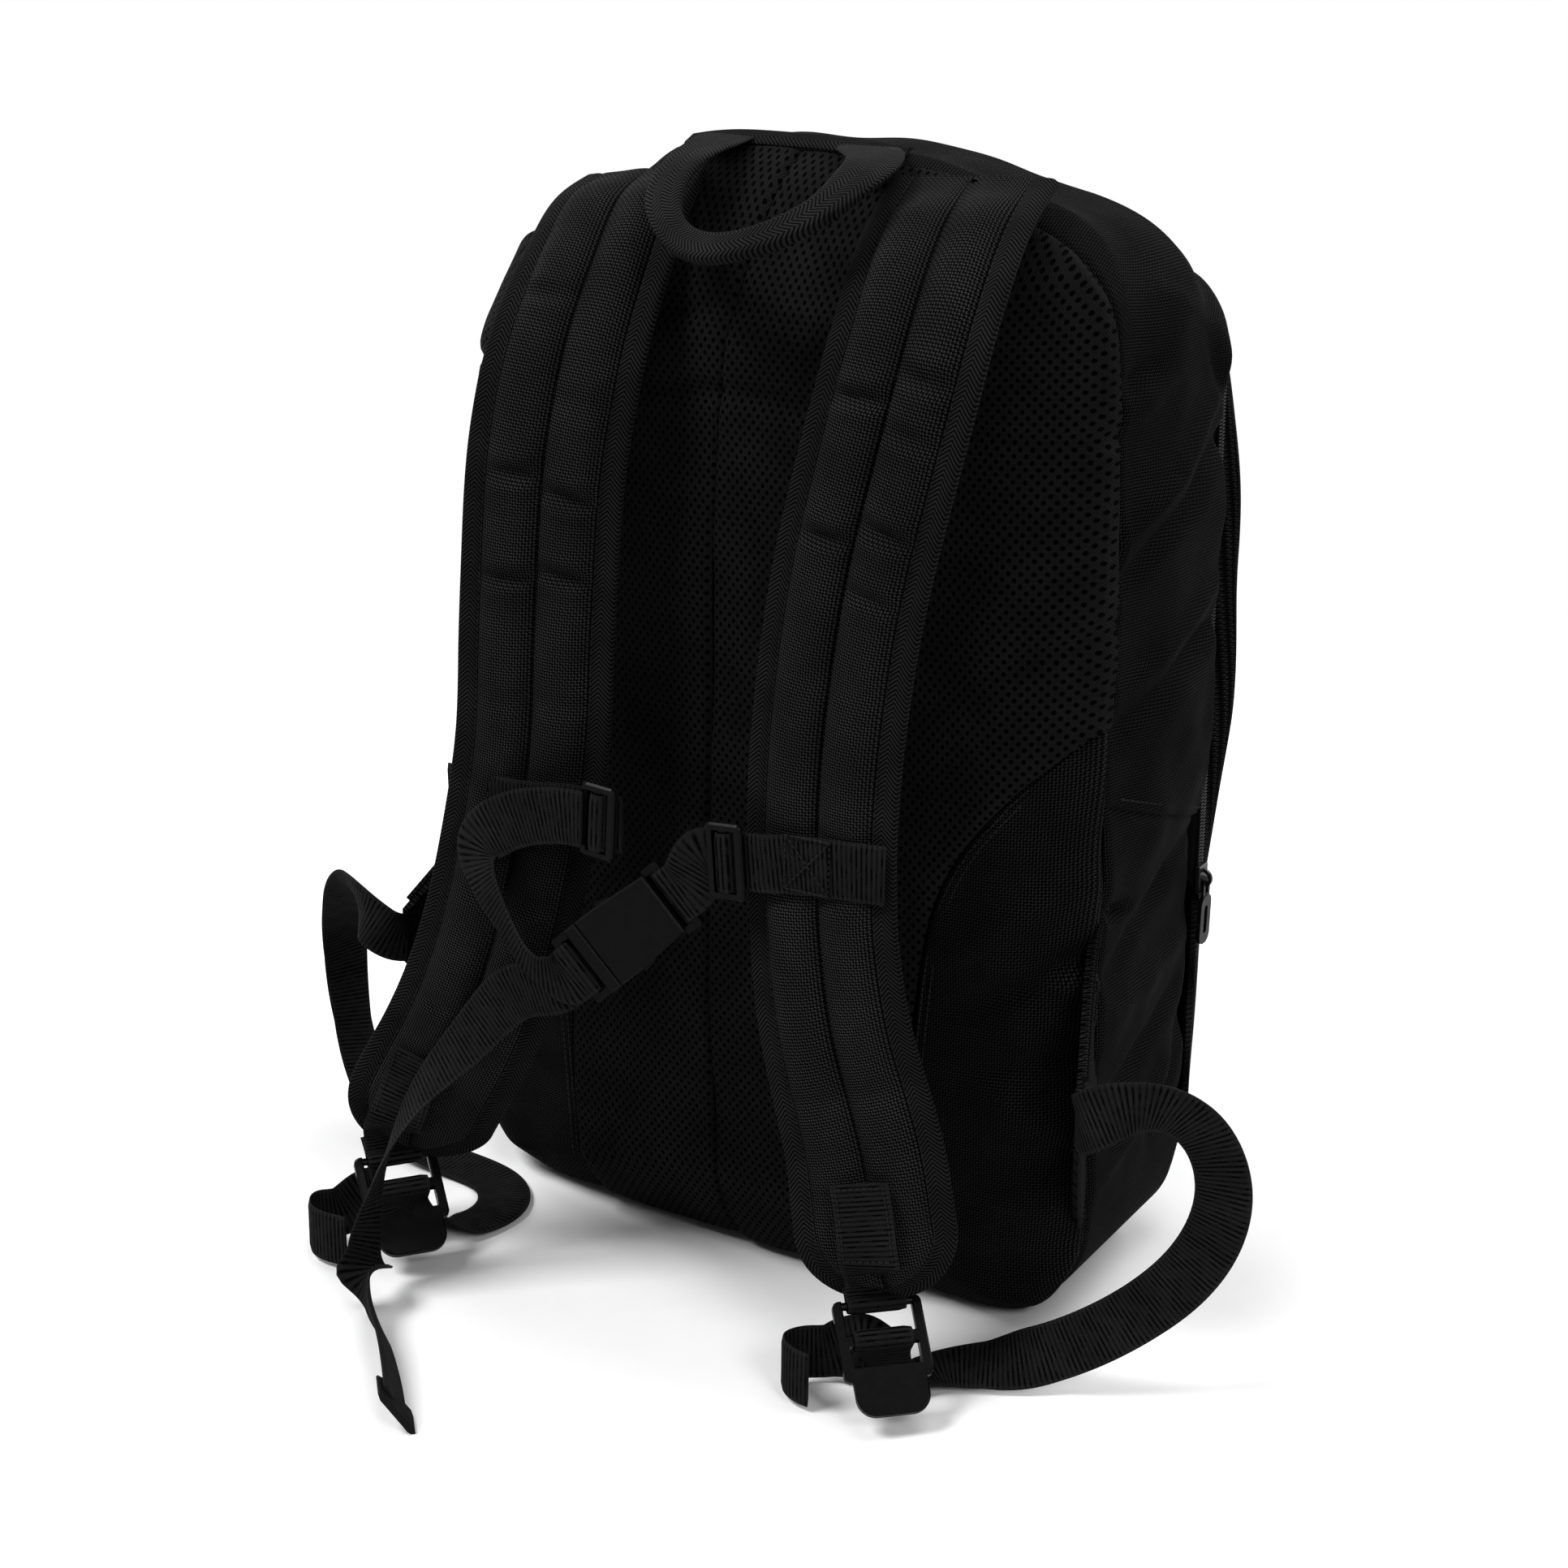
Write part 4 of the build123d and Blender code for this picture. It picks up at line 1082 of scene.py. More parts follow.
    def settled(self, points: Array) -> Array:
        """The form under its own slack: gussets swell outwards beside the zip, and the shoulders sink.

        The swelling fades out at base, top, back seam and zip, where the chain holds the cloth; the sinking
        is a bell over each shoulder plus an even part, and fades out down the sides and towards the back. The
        left shoulder, under the slack strap, also slumps inwards, and the handle's seat holds the middle up.

        Args:
            points: Points of the taut form.

        Returns:
            The settled points.
        """
        x, y, z = points[..., 0], points[..., 1], points[..., 2]
        gusset = ease(y, -50, -5) * (1 - ease(y, 34, 44)) * (1 - ease(z, 430, 500))
        flap = 1.1 * ease(y, 56.5, 68) * (1 - ease(z, 320, 440))
        out = self.bulge * (gusset + flap) * ease(z, 150, 255) * np.clip(x / 150, -1, 1)
        bell = self.sag + self.shoulder_sag * np.exp(-(((np.abs(x) - 104) / 29) ** 2))
        bell = bell + 11 * np.exp(-(((x + 100) / 40) ** 2))
        slump = 18 * ease(z, 395, 455) * ease(-x, 60, 140)
        down = bell * ease(z, 385, 480) * (0.4 + 0.6 * np.maximum(ease(y, -66, -25), ease(-x, 40, 80)))
        down = down * (1 - 0.5 * np.exp(-((x / 46) ** 4)) * ease(z, 470, 490))
        return points + np.stack([out + slump, 0 * out, -down], -1)

    def face(self, x: Array, z: Array) -> Array:
        """Y of the front panel: full, with round edges down the sides.

        Args:
            x: Places across.
            z: Heights.

        Returns:
            Depths.
        """
        inside = np.clip((self.rim(z, self.seam_y) - np.abs(x)) / self.front_roll, 0, 1)
        y = self.front(z) + 8 * np.clip(1 - (x / 190) ** 2, 0, 1) * ease(z, 60, 190) * (1 - ease(z, 390, 450))
        return self.seam_y + (y - self.seam_y) * np.sqrt(1 - (1 - inside) ** 2)


@dataclass
class Shell:
    """The bag's body: back pads and corners, gusset panels, base, top, front and flap."""

    shop: Workshop
    form: BagForm = field(default_factory=BagForm)
    gap: float = 0.2
    cloth: float = 2.4
    mesh_lift: float = 4.5
    corner_lift: float = 1.4
    curve_top: float = 285.0
    quilt_z: float = 402.0
    pocket_back: float = 245.0
    pocket_front: float = 205.0

    def sew(self, name: str, skin: Skin, finish: str, body: Body | None = Body.BAG,
            stands_for: Sequence[str] = (), sharp: float = 50.0) -> bpy.types.Object:
        """Makes a piece of the body after the form has settled.

        Args:
            name: The piece's name.
            skin: Its mesh on the taut form.
            finish: Key of its finish.
            body: The body that it rides on, or None if it is blended later.
            stands_for: CAD nodes that it replaces.
            sharp: Angle in degrees above which an edge stays sharp.

        Returns:
            The object.
        """
        skin.points = self.form.settled(skin.points)
        return self.shop.piece(name, skin, finish, body, stands_for, sharp)

    def mesh_edge(self, z: Array) -> Array:
        """Half the width of the mesh: narrow below, swinging out to the side seam on a smoothed line.

        Args:
            z: Heights.

        Returns:
            Half widths, out of reach above the curve.
        """
        heights = [0, 60, 120, 165, 195, 219, 254, 284, 300]
        reach = [79, 84, 89, 92, 97, 107, 133, 166, 200]
        fine = np.linspace(0, 300, 61)
        smooth = np.convolve(np.pad(np.interp(fine, heights, reach), 2, mode="edge"), np.ones(5) / 5, "valid")
        return np.where(z > self.curve_top, 999.0, np.interp(z, fine, smooth))

    def back_grid(self, low: Array, high: Array, z: Array, columns: int) -> tuple[Array, Array]:
        """A grid over the back.

        Args:
            low: Least X at each height.
            high: Greatest X at each height.
            z: The heights.
            columns: Points across.

        Returns:
            The grid's points and their (x, z) plane.
        """
        x = low[:, None] + (high - low)[:, None] * np.linspace(0, 1, columns)
        plane = np.stack([x, np.broadcast_to(z[:, None], x.shape)], -1)
        return np.stack([x, self.form.back(x, z[:, None]), plane[..., 1]], -1), plane

    def build_back(self, side: Side) -> None:
        """The spacer mesh pad and the woven corner of one side."""
        self.build_mesh(side)
        self.build_corner(side)

    def build_mesh(self, side: Side) -> None:
        """The spacer mesh pad of one side: quilted across the shoulders and rolled in at the yoke.

        Args:
            side: Which side.
        """
        form, sign = self.form, side.value
        z = np.concatenate([np.linspace(5, 440, 150), np.linspace(442, 484, 26), np.linspace(485, 496, 12)])
        rim = form.rim(z, form.back_seam(z))
        outer = np.minimum(self.mesh_edge(z), rim - self.gap)
        middle = np.interp(z, [0, 60, 140, 340, 430, 480], [-1, -4, -7, -7, 0, 4]) * sign - 0.4
        points, plane = self.back_grid(middle, outer, z, 60)
        points[..., 0] *= sign
        channel = plane[..., 1] - self.quilt_z + 0.05 * plane[..., 0]
        quilt = -3.0 * ease(plane[..., 1], 476, 496) - 2.6 * np.exp(-((channel / 3.5) ** 2))
        soft = rumple(plane, 90, 0.9, 11 + sign) + rumple(plane, 34, 0.3, 17 + sign)
        folds = [Crease((20, 470), (60, 440), 5, -1.6), Crease((5, 436), (55, 425), 4, -1.1),
                 Crease((118, 300), (158, 318), 5, -1.6), Crease((110, 430), (140, 400), 5, -1.5)]
        lift = self.mesh_lift + quilt + soft + creased(plane, folds)
        skin = panel(points, 4.5, plane, lift, (5, 4, 3, 5), 2.6)
        pad = self.sew("mesh_pad_" + side.word, skin, "mesh", stands_for=["mesh_pad_" + side.word])

    def build_corner(self, side: Side) -> None:
        """The woven corner of one side, and its two rows of stitches beside the mesh.

        Args:
            side: Which side.
        """
        form, sign = self.form, side.value
        z = np.concatenate([np.linspace(3, 270, 110), np.linspace(272, 284, 8)])
        rim = form.rim(z, form.back_seam(z))
        inner = np.minimum(self.mesh_edge(z) + self.gap, rim - 1.2)
        points, plane = self.back_grid(inner, rim - self.gap, z, 44)
        points[..., 0] *= sign
        folds = [Crease((160, 176), (112, 150), 8, -4.2), Crease((160, 160), (124, 172), 6, 3.0),
                 Crease((160, 132), (118, 122), 8, -2.6), Crease((158, 96), (122, 112), 9, 2.4),
                 Crease((150, 205), (108, 176), 9, 1.6), Crease((100, 60), (150, 78), 12, -2.0),
                 Crease((96, 110), (140, 92), 9, 1.4), Crease((110, 22), (150, 40), 9, -1.6)]
        lift = self.corner_lift + creased(plane, folds) + rumple(plane, 60, 0.8, 31 + sign)
        level = np.linspace(14, 276, 140)
        rows = []
        for beside in (3.2, 6.4):
            x = self.mesh_edge(level) + beside
            keep = x < form.rim(level, form.back_seam(level)) - 5
            line = np.stack([x * sign, form.back(x, level) - self.corner_lift - 0.5, level], -1)[keep]
            rows.append(seam(line, np.tile((0.0, -1.0, 0.0), (keep.sum(), 1)), 3.0, 0.5))
        self.sew("corner_stitches_" + side.word, joined(rows), "thread", sharp=STITCH_SHARP)
        skin = panel(points, 1.6, plane, lift, (3, 3, 3, 4), 2.2)
        self.sew("corner_panel_" + side.word, skin, "corner", stands_for=["corner_panel_" + side.word])

    def pocket(self, y: Array) -> Array:
        """Height of the slanting pocket seam at a depth: it falls evenly from the back seam to the zip."""
        return self.pocket_back + (self.pocket_front - self.pocket_back) * (y + 68) / 118

    def gusset_lift(self, plane: Array, seed: int) -> Array:
        """Wrinkles of a side panel.

        Args:
            plane: The panel's (y, z) plane.
            seed: Seed of its unevenness.

        Returns:
            Displacement along the normals.
        """
        folds = [
            Crease((-44, 332), (46, 386), 7, -3.0), Crease((-44, 348), (30, 400), 6, 1.8),
            Crease((-44, 268), (38, 302), 7, -2.6), Crease((-40, 284), (36, 318), 6, 1.5),
            Crease((-46, 414), (-22, 428), 6, -2.6), Crease((-46, 400), (-14, 416), 7, 1.4),
            Crease((-14, 478), (34, 396), 6, -1.8), Crease((0, 474), (42, 404), 5, 1.3),
            Crease((-46, 190), (-26, 186), 5, -3.0), Crease((-40, 160), (40, 205), 9, -2.2),
            Crease((-36, 140), (42, 150), 9, 2.0), Crease((-40, 96), (30, 128), 8, -2.4),
            Crease((-46, 60), (34, 96), 9, 2.2), Crease((10, 60), (46, 120), 8, -2.0),
        ]
        return 1.25 * creased(plane, folds) + rumple(plane, 70, 1.3, seed) + rumple(plane, 26, 0.5, seed + 1)

    def build_sides(self, side: Side) -> None:
        """The upper and lower side panels, parted by the slanting pocket seam.

        Depth runs from the back seam to the zip at each height, so it is found in a few passes.

        Args:
            side: Which side.
        """
        form, sign = self.form, side.value
        share = np.linspace(0, 1, 56)
        front = form.seam_y - form.chain - self.gap
        for name, rows in (("upper", 84), ("lower", 70)):
            back = np.full(rows, -47.0)
            for _ in range(3):
                y = back[:, None] + (front - back)[:, None] * share
                pocket = self.pocket(y)
                t = np.linspace(0, 1, rows)[:, None]
                if name == "upper":
                    low = form.from_top(pocket - 2.0, y)
                    q = low + (form.from_top(form.yoke_low + 0 * y, y) - low) * t
                    points = form.over_top(q, y)
                else:
                    low = form.from_base(form.base_high + 0 * y, y)
                    q = low + (form.from_base(pocket, y) - low) * t
                    points = form.under_base(q, y)
                back = form.back_seam(points[:, 0, 2])
            points[..., 0] *= sign
            plane = points[..., 1:]
            lift = self.gusset_lift(plane, 41 + sign)
            edge_fade = np.clip(edge_distance(points)[1 if name == "upper" else 0] / 25, 0, 1)
            roll = (2, 0, 4, 3) if name == "upper" else (0, 6, 4, 3)
            skin = panel(points, self.cloth, plane, lift * edge_fade, roll, 2.4)
            piece = f"side_{name}_{side.word}"
            self.sew(piece, skin, "gusset", stands_for=[piece])

    def build_pocket_stitches(self, side: Side) -> None:
        """The line of stitches just above the slanting pocket seam.

        Args:
            side: Which side.
        """
        y = np.linspace(-40, 40, 60)
        z = self.pocket(y) + 3.5
        line = self.form.over_top(self.form.from_top(z, y), y) + (0.7, 0, 0)
        skin = seam(line * (side.value, 1, 1), np.tile((float(side.value), 0.0, 0.0), (60, 1)), 3.2, 0.5)
        self.sew("pocket_stitches_" + side.word, skin, "thread", sharp=STITCH_SHARP)

    def build_ends(self) -> None:
        """The base and the top yoke, each a band from side to side."""
        self.build_base()
        self.build_yoke()

    def build_base(self) -> None:
        """The base: a band under the bag from side panel to side panel."""
        form = self.form
        share = np.linspace(0, 1, 44)
        y_back = form.back_seam(0.0)
        front = form.seam_y - self.gap
        y = y_back + (front - y_back) * share
        t = np.linspace(-1, 1, 130)[:, None]
        q = t * form.from_base(form.base_high + 0 * y, y)
        points = form.under_base(q, y + 0 * q)
        seam_here = form.back_seam(points[:, :1, 2])
        points[..., 1] = seam_here + (front - seam_here) * share
        points = form.under_base(q, points[..., 1])
        skin = panel(points, self.cloth, np.stack([points[..., 1], q], -1), 0.0, (0, 0, 3, 3), 1.5)
        skin.points[:, 2] = np.maximum(skin.points[:, 2], 0.15)
        self.sew("base_panel", skin, "gusset", stands_for=["base_panel"])

    def build_yoke(self) -> None:
        """The top yoke: a band over the bag that dips in the middle by a product of cosines, and its tape."""
        form = self.form
        share = np.linspace(0, 1, 44)
        front = form.seam_y - form.chain - self.gap
        back = np.full(150, -63.0)
        t = np.linspace(-1, 1, 150)[:, None]
        for _ in range(3):
            y = back[:, None] + (front - back)[:, None] * share
            q = t * form.from_top(form.yoke_low + 0 * y, y)
            points = form.over_top(q, y)
            back = form.back_seam(points[:, 0, 2])
        plane = np.stack([y, q], -1)
        folds = [Crease((10, side * 190), (38, side * 120), 7, -2.2) for side in (-1, 1)]
        folds += [Crease((-20, side * 170), (36, side * 205), 6, 1.4) for side in (-1, 1)]
        over, back = (np.cos(np.clip(part, -1, 1) * np.pi / 2) for part in (q / 110, (y + 10) / 50))
        sag = -2.5 * over * back
        fade = np.clip(np.minimum(*edge_distance(points)[:2]) / 25, 0, 1)
        lift = (creased(plane, folds) + rumple(plane, 60, 0.8, 61)) * fade + sag
        skin = panel(points, self.cloth, plane, lift, (0, 0, 4, 3), 2.2)
        self.sew("top_yoke", skin, "gusset", stands_for=["top_yoke"])
        line = form.over_top(np.linspace(-52, 52, 60), np.full(60, -48.5)) + (0, -1.0, 2.0)
        tape = track(line, np.tile((0.0, 0.83, 0.5), (60, 1)), 60)
        self.sew("yoke_tape", strip(tape, *flat_section(10, 1.4)), "binding")

    def build_front(self) -> None:
        """The front below the zip, and the flap above it."""
        form = self.form
        folds = [Crease((-90, 300), (60, 330), 16, -3.0), Crease((-40, 240), (110, 262), 14, -2.4),
                 Crease((-100, 200), (-10, 214), 12, 2.0), Crease((20, 380), (100, 350), 12, -2.2),
                 Crease((-120, 120), (20, 128), 14, -2.4), Crease((0, 90), (110, 108), 12, 2.2)]
        spans = {
            "front_flap": ((form.zip_low, 400, 80), (402, 452.5, 40), 0.9),
            "front_lower": ((17.4, 60, 34), (62, form.zip_low - 0.2, 36), 0.0),
        }
        for name, (low, high, inset) in spans.items():
            z = np.concatenate([np.linspace(*low), np.linspace(*high)])
            half = form.rim(z, form.seam_y) - inset
            x = half[:, None] * np.sin(np.linspace(-np.pi / 2, np.pi / 2, 90))
            plane = np.stack([x, np.broadcast_to(z[:, None], x.shape)], -1)
            points = np.stack([x, form.face(x, z[:, None]), plane[..., 1]], -1)
            lift = creased(plane, folds) + rumple(plane, 80, 1.0, 71)
            fade = np.clip(np.minimum.reduce(edge_distance(points)) / 18, 0, 1)
            roll = (2, 3, 3, 3) if name == "front_flap" else (0, 2, 2, 2)
            skin = panel(points, self.cloth, plane, lift * fade, roll, 1.6)
            skin.points[:, 2] = np.maximum(skin.points[:, 2], 0.3)
            body = None if name == "front_flap" else Body.BAG
            made = self.sew(name, skin, "woven", body, [name])
            if body is None:
                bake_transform(made)

    def build_zip(self) -> None:
        """Tapes and coils of both halves of the zip; the tapes pass under the edges of the cloth."""
        form = self.form
        y_line = form.seam_y
        reach = float(form.from_top(np.array(form.zip_low), np.array(y_line)))
        q = np.linspace(-reach, reach, 260)[:, None]
        halves = (("bag", Body.BAG, -0.1, -form.tape), ("flap", Body.FLAP, 0.1, form.tape))
        for name, body, near, far in halves:
            y = y_line + near + (far - near) * np.linspace(0, 1, 14)
            points = form.over_top(q, y + 0 * q)
            normal = grid_normals(points)
            bead = 0.75 * np.exp(-(((y - y_line - near * 12) / 1.3) ** 2))
            under = 3.0 * ease(np.abs(y - y_line), form.chain, form.chain + 2.5)
            lift = 0.2 + bead - under + 0 * q
            skin = panel(points, 1.2, np.stack([y + 0 * q, q + 0 * y], -1), lift, (0, 0, 0, 0), 0.0)
            count = int(2 * reach / 1.5)
            where, row = np.linspace(0, 259, count), np.arange(260)
            line = form.over_top(np.interp(where, row, q[:, 0]), np.full(count, y_line + np.sign(far) * 1.5))
            rise = read_at(where, row, normal[:, 1])
            across = np.tile((0.0, 1.0, 0.0), (count, 1))
            teeth = scattered(line + unit(rise) * 1.35, across, unit(rise), (2.6, 0.95, 0.9))
            self.sew("zip_tape_" + name, skin, "tape", body, ["zip_chain_" + name])
            coil = self.sew("zip_coil_" + name, teeth, "teeth", body, sharp=STITCH_SHARP)
            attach(coil, body.value)

    def build_inside(self) -> None:
        """Lining and sheet behind the back, the padded divider with its bound edge, and the base board."""
        self.build_lining()
        self.build_divider()
        self.build_board()

    def build_lining(self) -> None:
        """The quilted lining over the back's foam, and the curved sheet behind it."""
        form = self.form
        z = np.linspace(12, 484, 92)
        rim = form.rim(z, form.back_seam(z)) - 7
        x = rim[:, None] * np.linspace(-1, 1, 70)
        plane = np.stack([x, np.broadcast_to(z[:, None], x.shape)], -1)
        inset = np.interp(z, [0, 40, 420, 470, 484], [8.0, 15.0, 15.0, 8.0, 7.0])[:, None]
        points = np.stack([x, form.back(x, z[:, None]) + inset, plane[..., 1]], -1)
        quilt = 0.9 * np.cos(np.pi * x / 46) * np.cos(np.pi * plane[..., 1] / 60)
        skin = panel(points, 1.2, plane, quilt, (0, 0, 0, 0), 0.0)
        lining = self.sew("back_lining", skin, "lining", stands_for=["back_panel", "back_foam"])

        z = np.linspace(34, 455, 60)
        rim = np.minimum(form.rim(z, form.back_seam(z)) - 40, 128)
        x = rim[:, None] * np.linspace(-1, 1, 40)
        points = np.stack([x, form.back(x, z[:, None]) + 9.0, np.broadcast_to(z[:, None], x.shape)], -1)
        skin = panel(points, 1.5, points[..., [0, 2]], 0.0, (0, 0, 0, 0), 0.0)
        self.sew("frame_sheet_curved", skin, "sheet", stands_for=["frame_sheet"])

    def build_divider(self) -> None:
        """The padded divider: channels between seams 60 mm apart, and a bound top edge."""
        form = self.form
        low, high = (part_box("sleeve_divider")[i] / MM for i in (0, 1))
        z = np.linspace(low.z, high.z, 60)
        half = np.minimum(form.rim(z, -30.0) - 4.5, high.x)
        x = half[:, None] * np.linspace(-1, 1, 60)
        plane = np.stack([x, np.broadcast_to(z[:, None], x.shape)], -1)
        points = np.stack([x, np.full_like(x, high.y), plane[..., 1]], -1)
        quilt = -0.7 + 0.6 * np.abs(np.cos(np.pi * x / 60)) ** 0.4
        skin = panel(points, 3.4, plane, quilt, (2, 2, 2, 2), 0.8, centre=(0, -200, 200))
        divider = self.sew("sleeve_divider", skin, "lining", stands_for=["sleeve_divider"])
        edge = np.stack([np.linspace(-half[-1], half[-1], 60), np.full(60, (low.y + high.y) / 2),
                         np.full(60, high.z - 2.2)], -1)
        bound = track(edge, np.tile((0.0, 0.0, 1.0), (60, 1)), 60)
        self.sew("divider_binding", strip(bound, *flat_section(8, 4.4)), "binding")

    def build_board(self) -> None:
        """The cover of the base board."""
        low, high = (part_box("base_board")[i] / MM for i in (0, 1))
        x = np.linspace(low.x, high.x, 50)
        y = np.linspace(low.y, high.y, 30)
        grid = np.stack([*np.meshgrid(x, y, indexing="ij"), np.full((50, 30), high.z)], -1)
        skin = panel(grid, 2.4, grid[..., :2], -0.2, (2, 2, 2, 2), 0.8, centre=(0, 0, -200))
        self.sew("base_board_cover", skin, "lining", stands_for=["base_board"])

    def build(self) -> None:
        """All of the body."""
        for side in Side:
            self.build_back(side)
            self.build_sides(side)
            self.build_pocket_stitches(side)
        self.build_ends()
        self.build_front()
        self.build_zip()
        self.build_inside()
        self.shop.dress("zip_slider", "metal")
        self.shop.dress("zip_pull", "pull")


# ---- shoulder straps --------------------------------------------------------------------------------------
@dataclass
class ShoulderStrap:
    """One padded strap: two crowned channels, bound edges, mesh lining and stitches."""

    shop: Workshop
    side: Side
    route: Sequence[Point]
    across: Sequence[Point]
    puckers: Sequence[tuple[float, float, float, float]]
    half: float = 25.0
    binding: float = 11.0
    crown: float = 6.6
    edge: float = 2.0
    stations: int = 260

    def rounding(self, path: Track) -> Array:
        """Share of the full width at each station: 1, then a half circle to the tip."""
        start = path.run[-1] - self.half - self.binding * 0.8
        return np.sqrt(np.clip(1 - (np.clip(path.run - start, 0, None) / (self.half + 0.1)) ** 2, 0.0004, 1))

    def pad(self, path: Track) -> Skin:
        """The padded part.

        The front is a pair of crowns, 1 - |2|s| - 1| to the power 2.4 across the strap, lowered at each
        pucker by a valley exp(-(distance / width) squared) and swollen beside it; the back is flat.

        Args:
            path: The strap's track.

        Returns:
            The closed mesh.
        """
        share = self.rounding(path)
        s = np.linspace(-1, 1, 41)
        lobe = 1 - np.abs(2 * np.abs(s) - 1) ** 2.4
        level_run = path.centre[::-1, 2], path.run[::-1]
        where = np.stack([np.broadcast_to(s * self.half, (len(path.run), 41)),
                          np.broadcast_to(path.run[:, None], (len(path.run), 41))], -1)
        swell = np.ones(where.shape[:2])
        for level, channel, width, depth in self.puckers:
            at = np.interp(level, *level_run)
            lean = 0.10 * where[..., 0] * channel
            near = (where[..., 1] - at - lean) / (1.05 * width)
            mask = 1 / (1 + np.exp(-where[..., 0] * channel * 2.0)) if channel else 1.0
            valley = np.exp(-(near**2)) - 0.35 * np.exp(-((np.abs(near) - 1.9) ** 2))
            swell = swell - 1.15 * mask * depth * valley
        front = self.edge + self.crown * lobe**0.72 * swell * share[:, None] ** 0.5
        height = path.centre[:, 2:]
        pressed = 0.42 * np.exp(-(((height - 226) / 15) ** 2)) + 0.45 * np.exp(-(((height - 78) / 24) ** 2))
        front = self.edge + (front - self.edge) * (1 - pressed) * (0.1 + 0.9 * ease(path.run, 2, 34)[:, None])
        front = front + lobe * (rumple(where, 40, 0.35, 81 + self.side.value) + rumple(where, 15, 0.12, 83))
        x = np.broadcast_to(s * self.half, front.shape) * share[:, None]
        back = np.full_like(front, -self.edge)
        x = np.concatenate([x, x[:, ::-1]], 1)
        y = np.concatenate([front, back], 1)
        return strip(path, x, y)

    def outline(self, path: Track, sign: int) -> Track:
        """The middle line of the binding on one edge: down the side and round to the tip.

        Args:
            path: The strap's track.
            sign: The edge, as the sign of its place across the strap.

        Returns:
            The binding's track.
        """
        turn_start = path.run[-1] - self.half - self.binding * 0.8
        straight = np.linspace(0, turn_start, 200)
        angle = np.linspace(0, np.pi / 2, 40)[1:]
        reach = self.half + self.binding / 2 - 1.2
        run = np.concatenate([straight, turn_start + reach * np.sin(angle)])
        over = np.concatenate([np.full(200, reach), reach * np.cos(angle)])
        given = (path.centre, path.across, path.along, path.face)
        centre, across, along, face = (read_at(run, path.run, values) for values in given)
        beyond = np.clip(run - path.run[-1], 0, None)[:, None]
        line = centre + unit(along) * beyond + sign * over[:, None] * unit(across)
        angles = np.concatenate([np.zeros(200), angle])[:, None]
        out = sign * np.cos(angles) * unit(across) + np.sin(angles) * unit(along)
        ahead = unit(np.gradient(line, axis=0))
        return Track(line, ahead, squared(out, ahead), unit(face), lengths(line))

    def build(self) -> None:
        """Pad, lining, bindings and stitches."""
        word = self.side.word
        path = track(self.route, self.across, self.stations)
        pad = self.shop.piece("strap_pad_" + word, self.pad(path), "strap", stands_for=["strap_pad_" + word])
        share = self.rounding(path)[:, None]
        s = np.linspace(-1, 1, 15)
        x = np.concatenate([s, s[::-1]])[None] * (self.half + 3) * share
        top = np.full((1, 15), -self.edge - 0.2)
        low = -self.edge - 2.0 - 0.5 * np.cos(np.pi * s / 2)[None]
        lining = strip(path, x, np.concatenate([top, low[:, ::-1]], 1) + 0 * share)
        self.shop.piece("strap_lining_" + word, lining, "lining_mesh", stands_for=["strap_lining_" + word])
        angle = np.linspace(0, 2 * np.pi, 24, endpoint=False) + np.pi / 24
        round_x = np.sign(np.cos(angle)) * np.abs(np.cos(angle)) ** 0.55 * self.binding / 2
        round_y = np.sign(np.sin(angle)) * np.abs(np.sin(angle)) ** 0.8 * 2.75
        for sign in (-1, 1):
            edge = "outer" if sign == self.side.value else "inner"
            line = self.outline(path, sign)
            name = f"strap_binding_{word}_{edge}"
            section_x, section_y = np.roll(round_x, 6)[None, ::-1], np.roll(round_y, 6)[None, ::-1]
            self.shop.piece(name, strip(line, section_x, section_y - 0.2), "binding", stands_for=[name])
            inside = line.centre - line.across * (self.binding / 2 - 1.6) + line.face * 2.2
            skin = seam(inside, line.face)
            stitches = self.shop.piece(f"strap_stitches_{word}_{edge}", skin, "thread", sharp=STITCH_SHARP)
            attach(stitches, "bag")


# ---- fittings' frames -------------------------------------------------------------------------------------
@dataclass(frozen=True)
class Seat:
    """The plane of a fitting: x along its bars, y along its run, z out of its face."""

    origin: Array
    x: Array
    y: Array
    z: Array

    def at(self, y: float, z: float, x: float = 0.0) -> Array:
        """A point given in the fitting's own plane."""
        return self.origin + x * self.x + y * self.y + z * self.z


def lock_seat(origin: Point, towards: Point) -> Seat:
    """Frame of a ladder lock; its top bar is level.

    Args:
        origin: The fitting's origin.
        towards: Where its foot points.

    Returns:
        The frame.
    """
    down = unit(np.array(towards, float))
    x = unit(np.array((-down[1], down[0], 0.0)))
    return Seat(np.array(origin, float), x, -down, np.cross(x, -down))


def strap_seat(origin: Point, along: Point, out: Point = (0, -1, 0)) -> Seat:
    """Frame of a fitting on the sternum strap.

    Args:
        origin: The fitting's origin.
        along: The strap's direction there.
        out: About where its face looks.

    Returns:
        The frame.
    """
    y = unit(np.array(along, float))
    z = unit(np.array(out, float) - y * np.dot(out, y))
    return Seat(np.array(origin, float), np.cross(y, z), y, z)


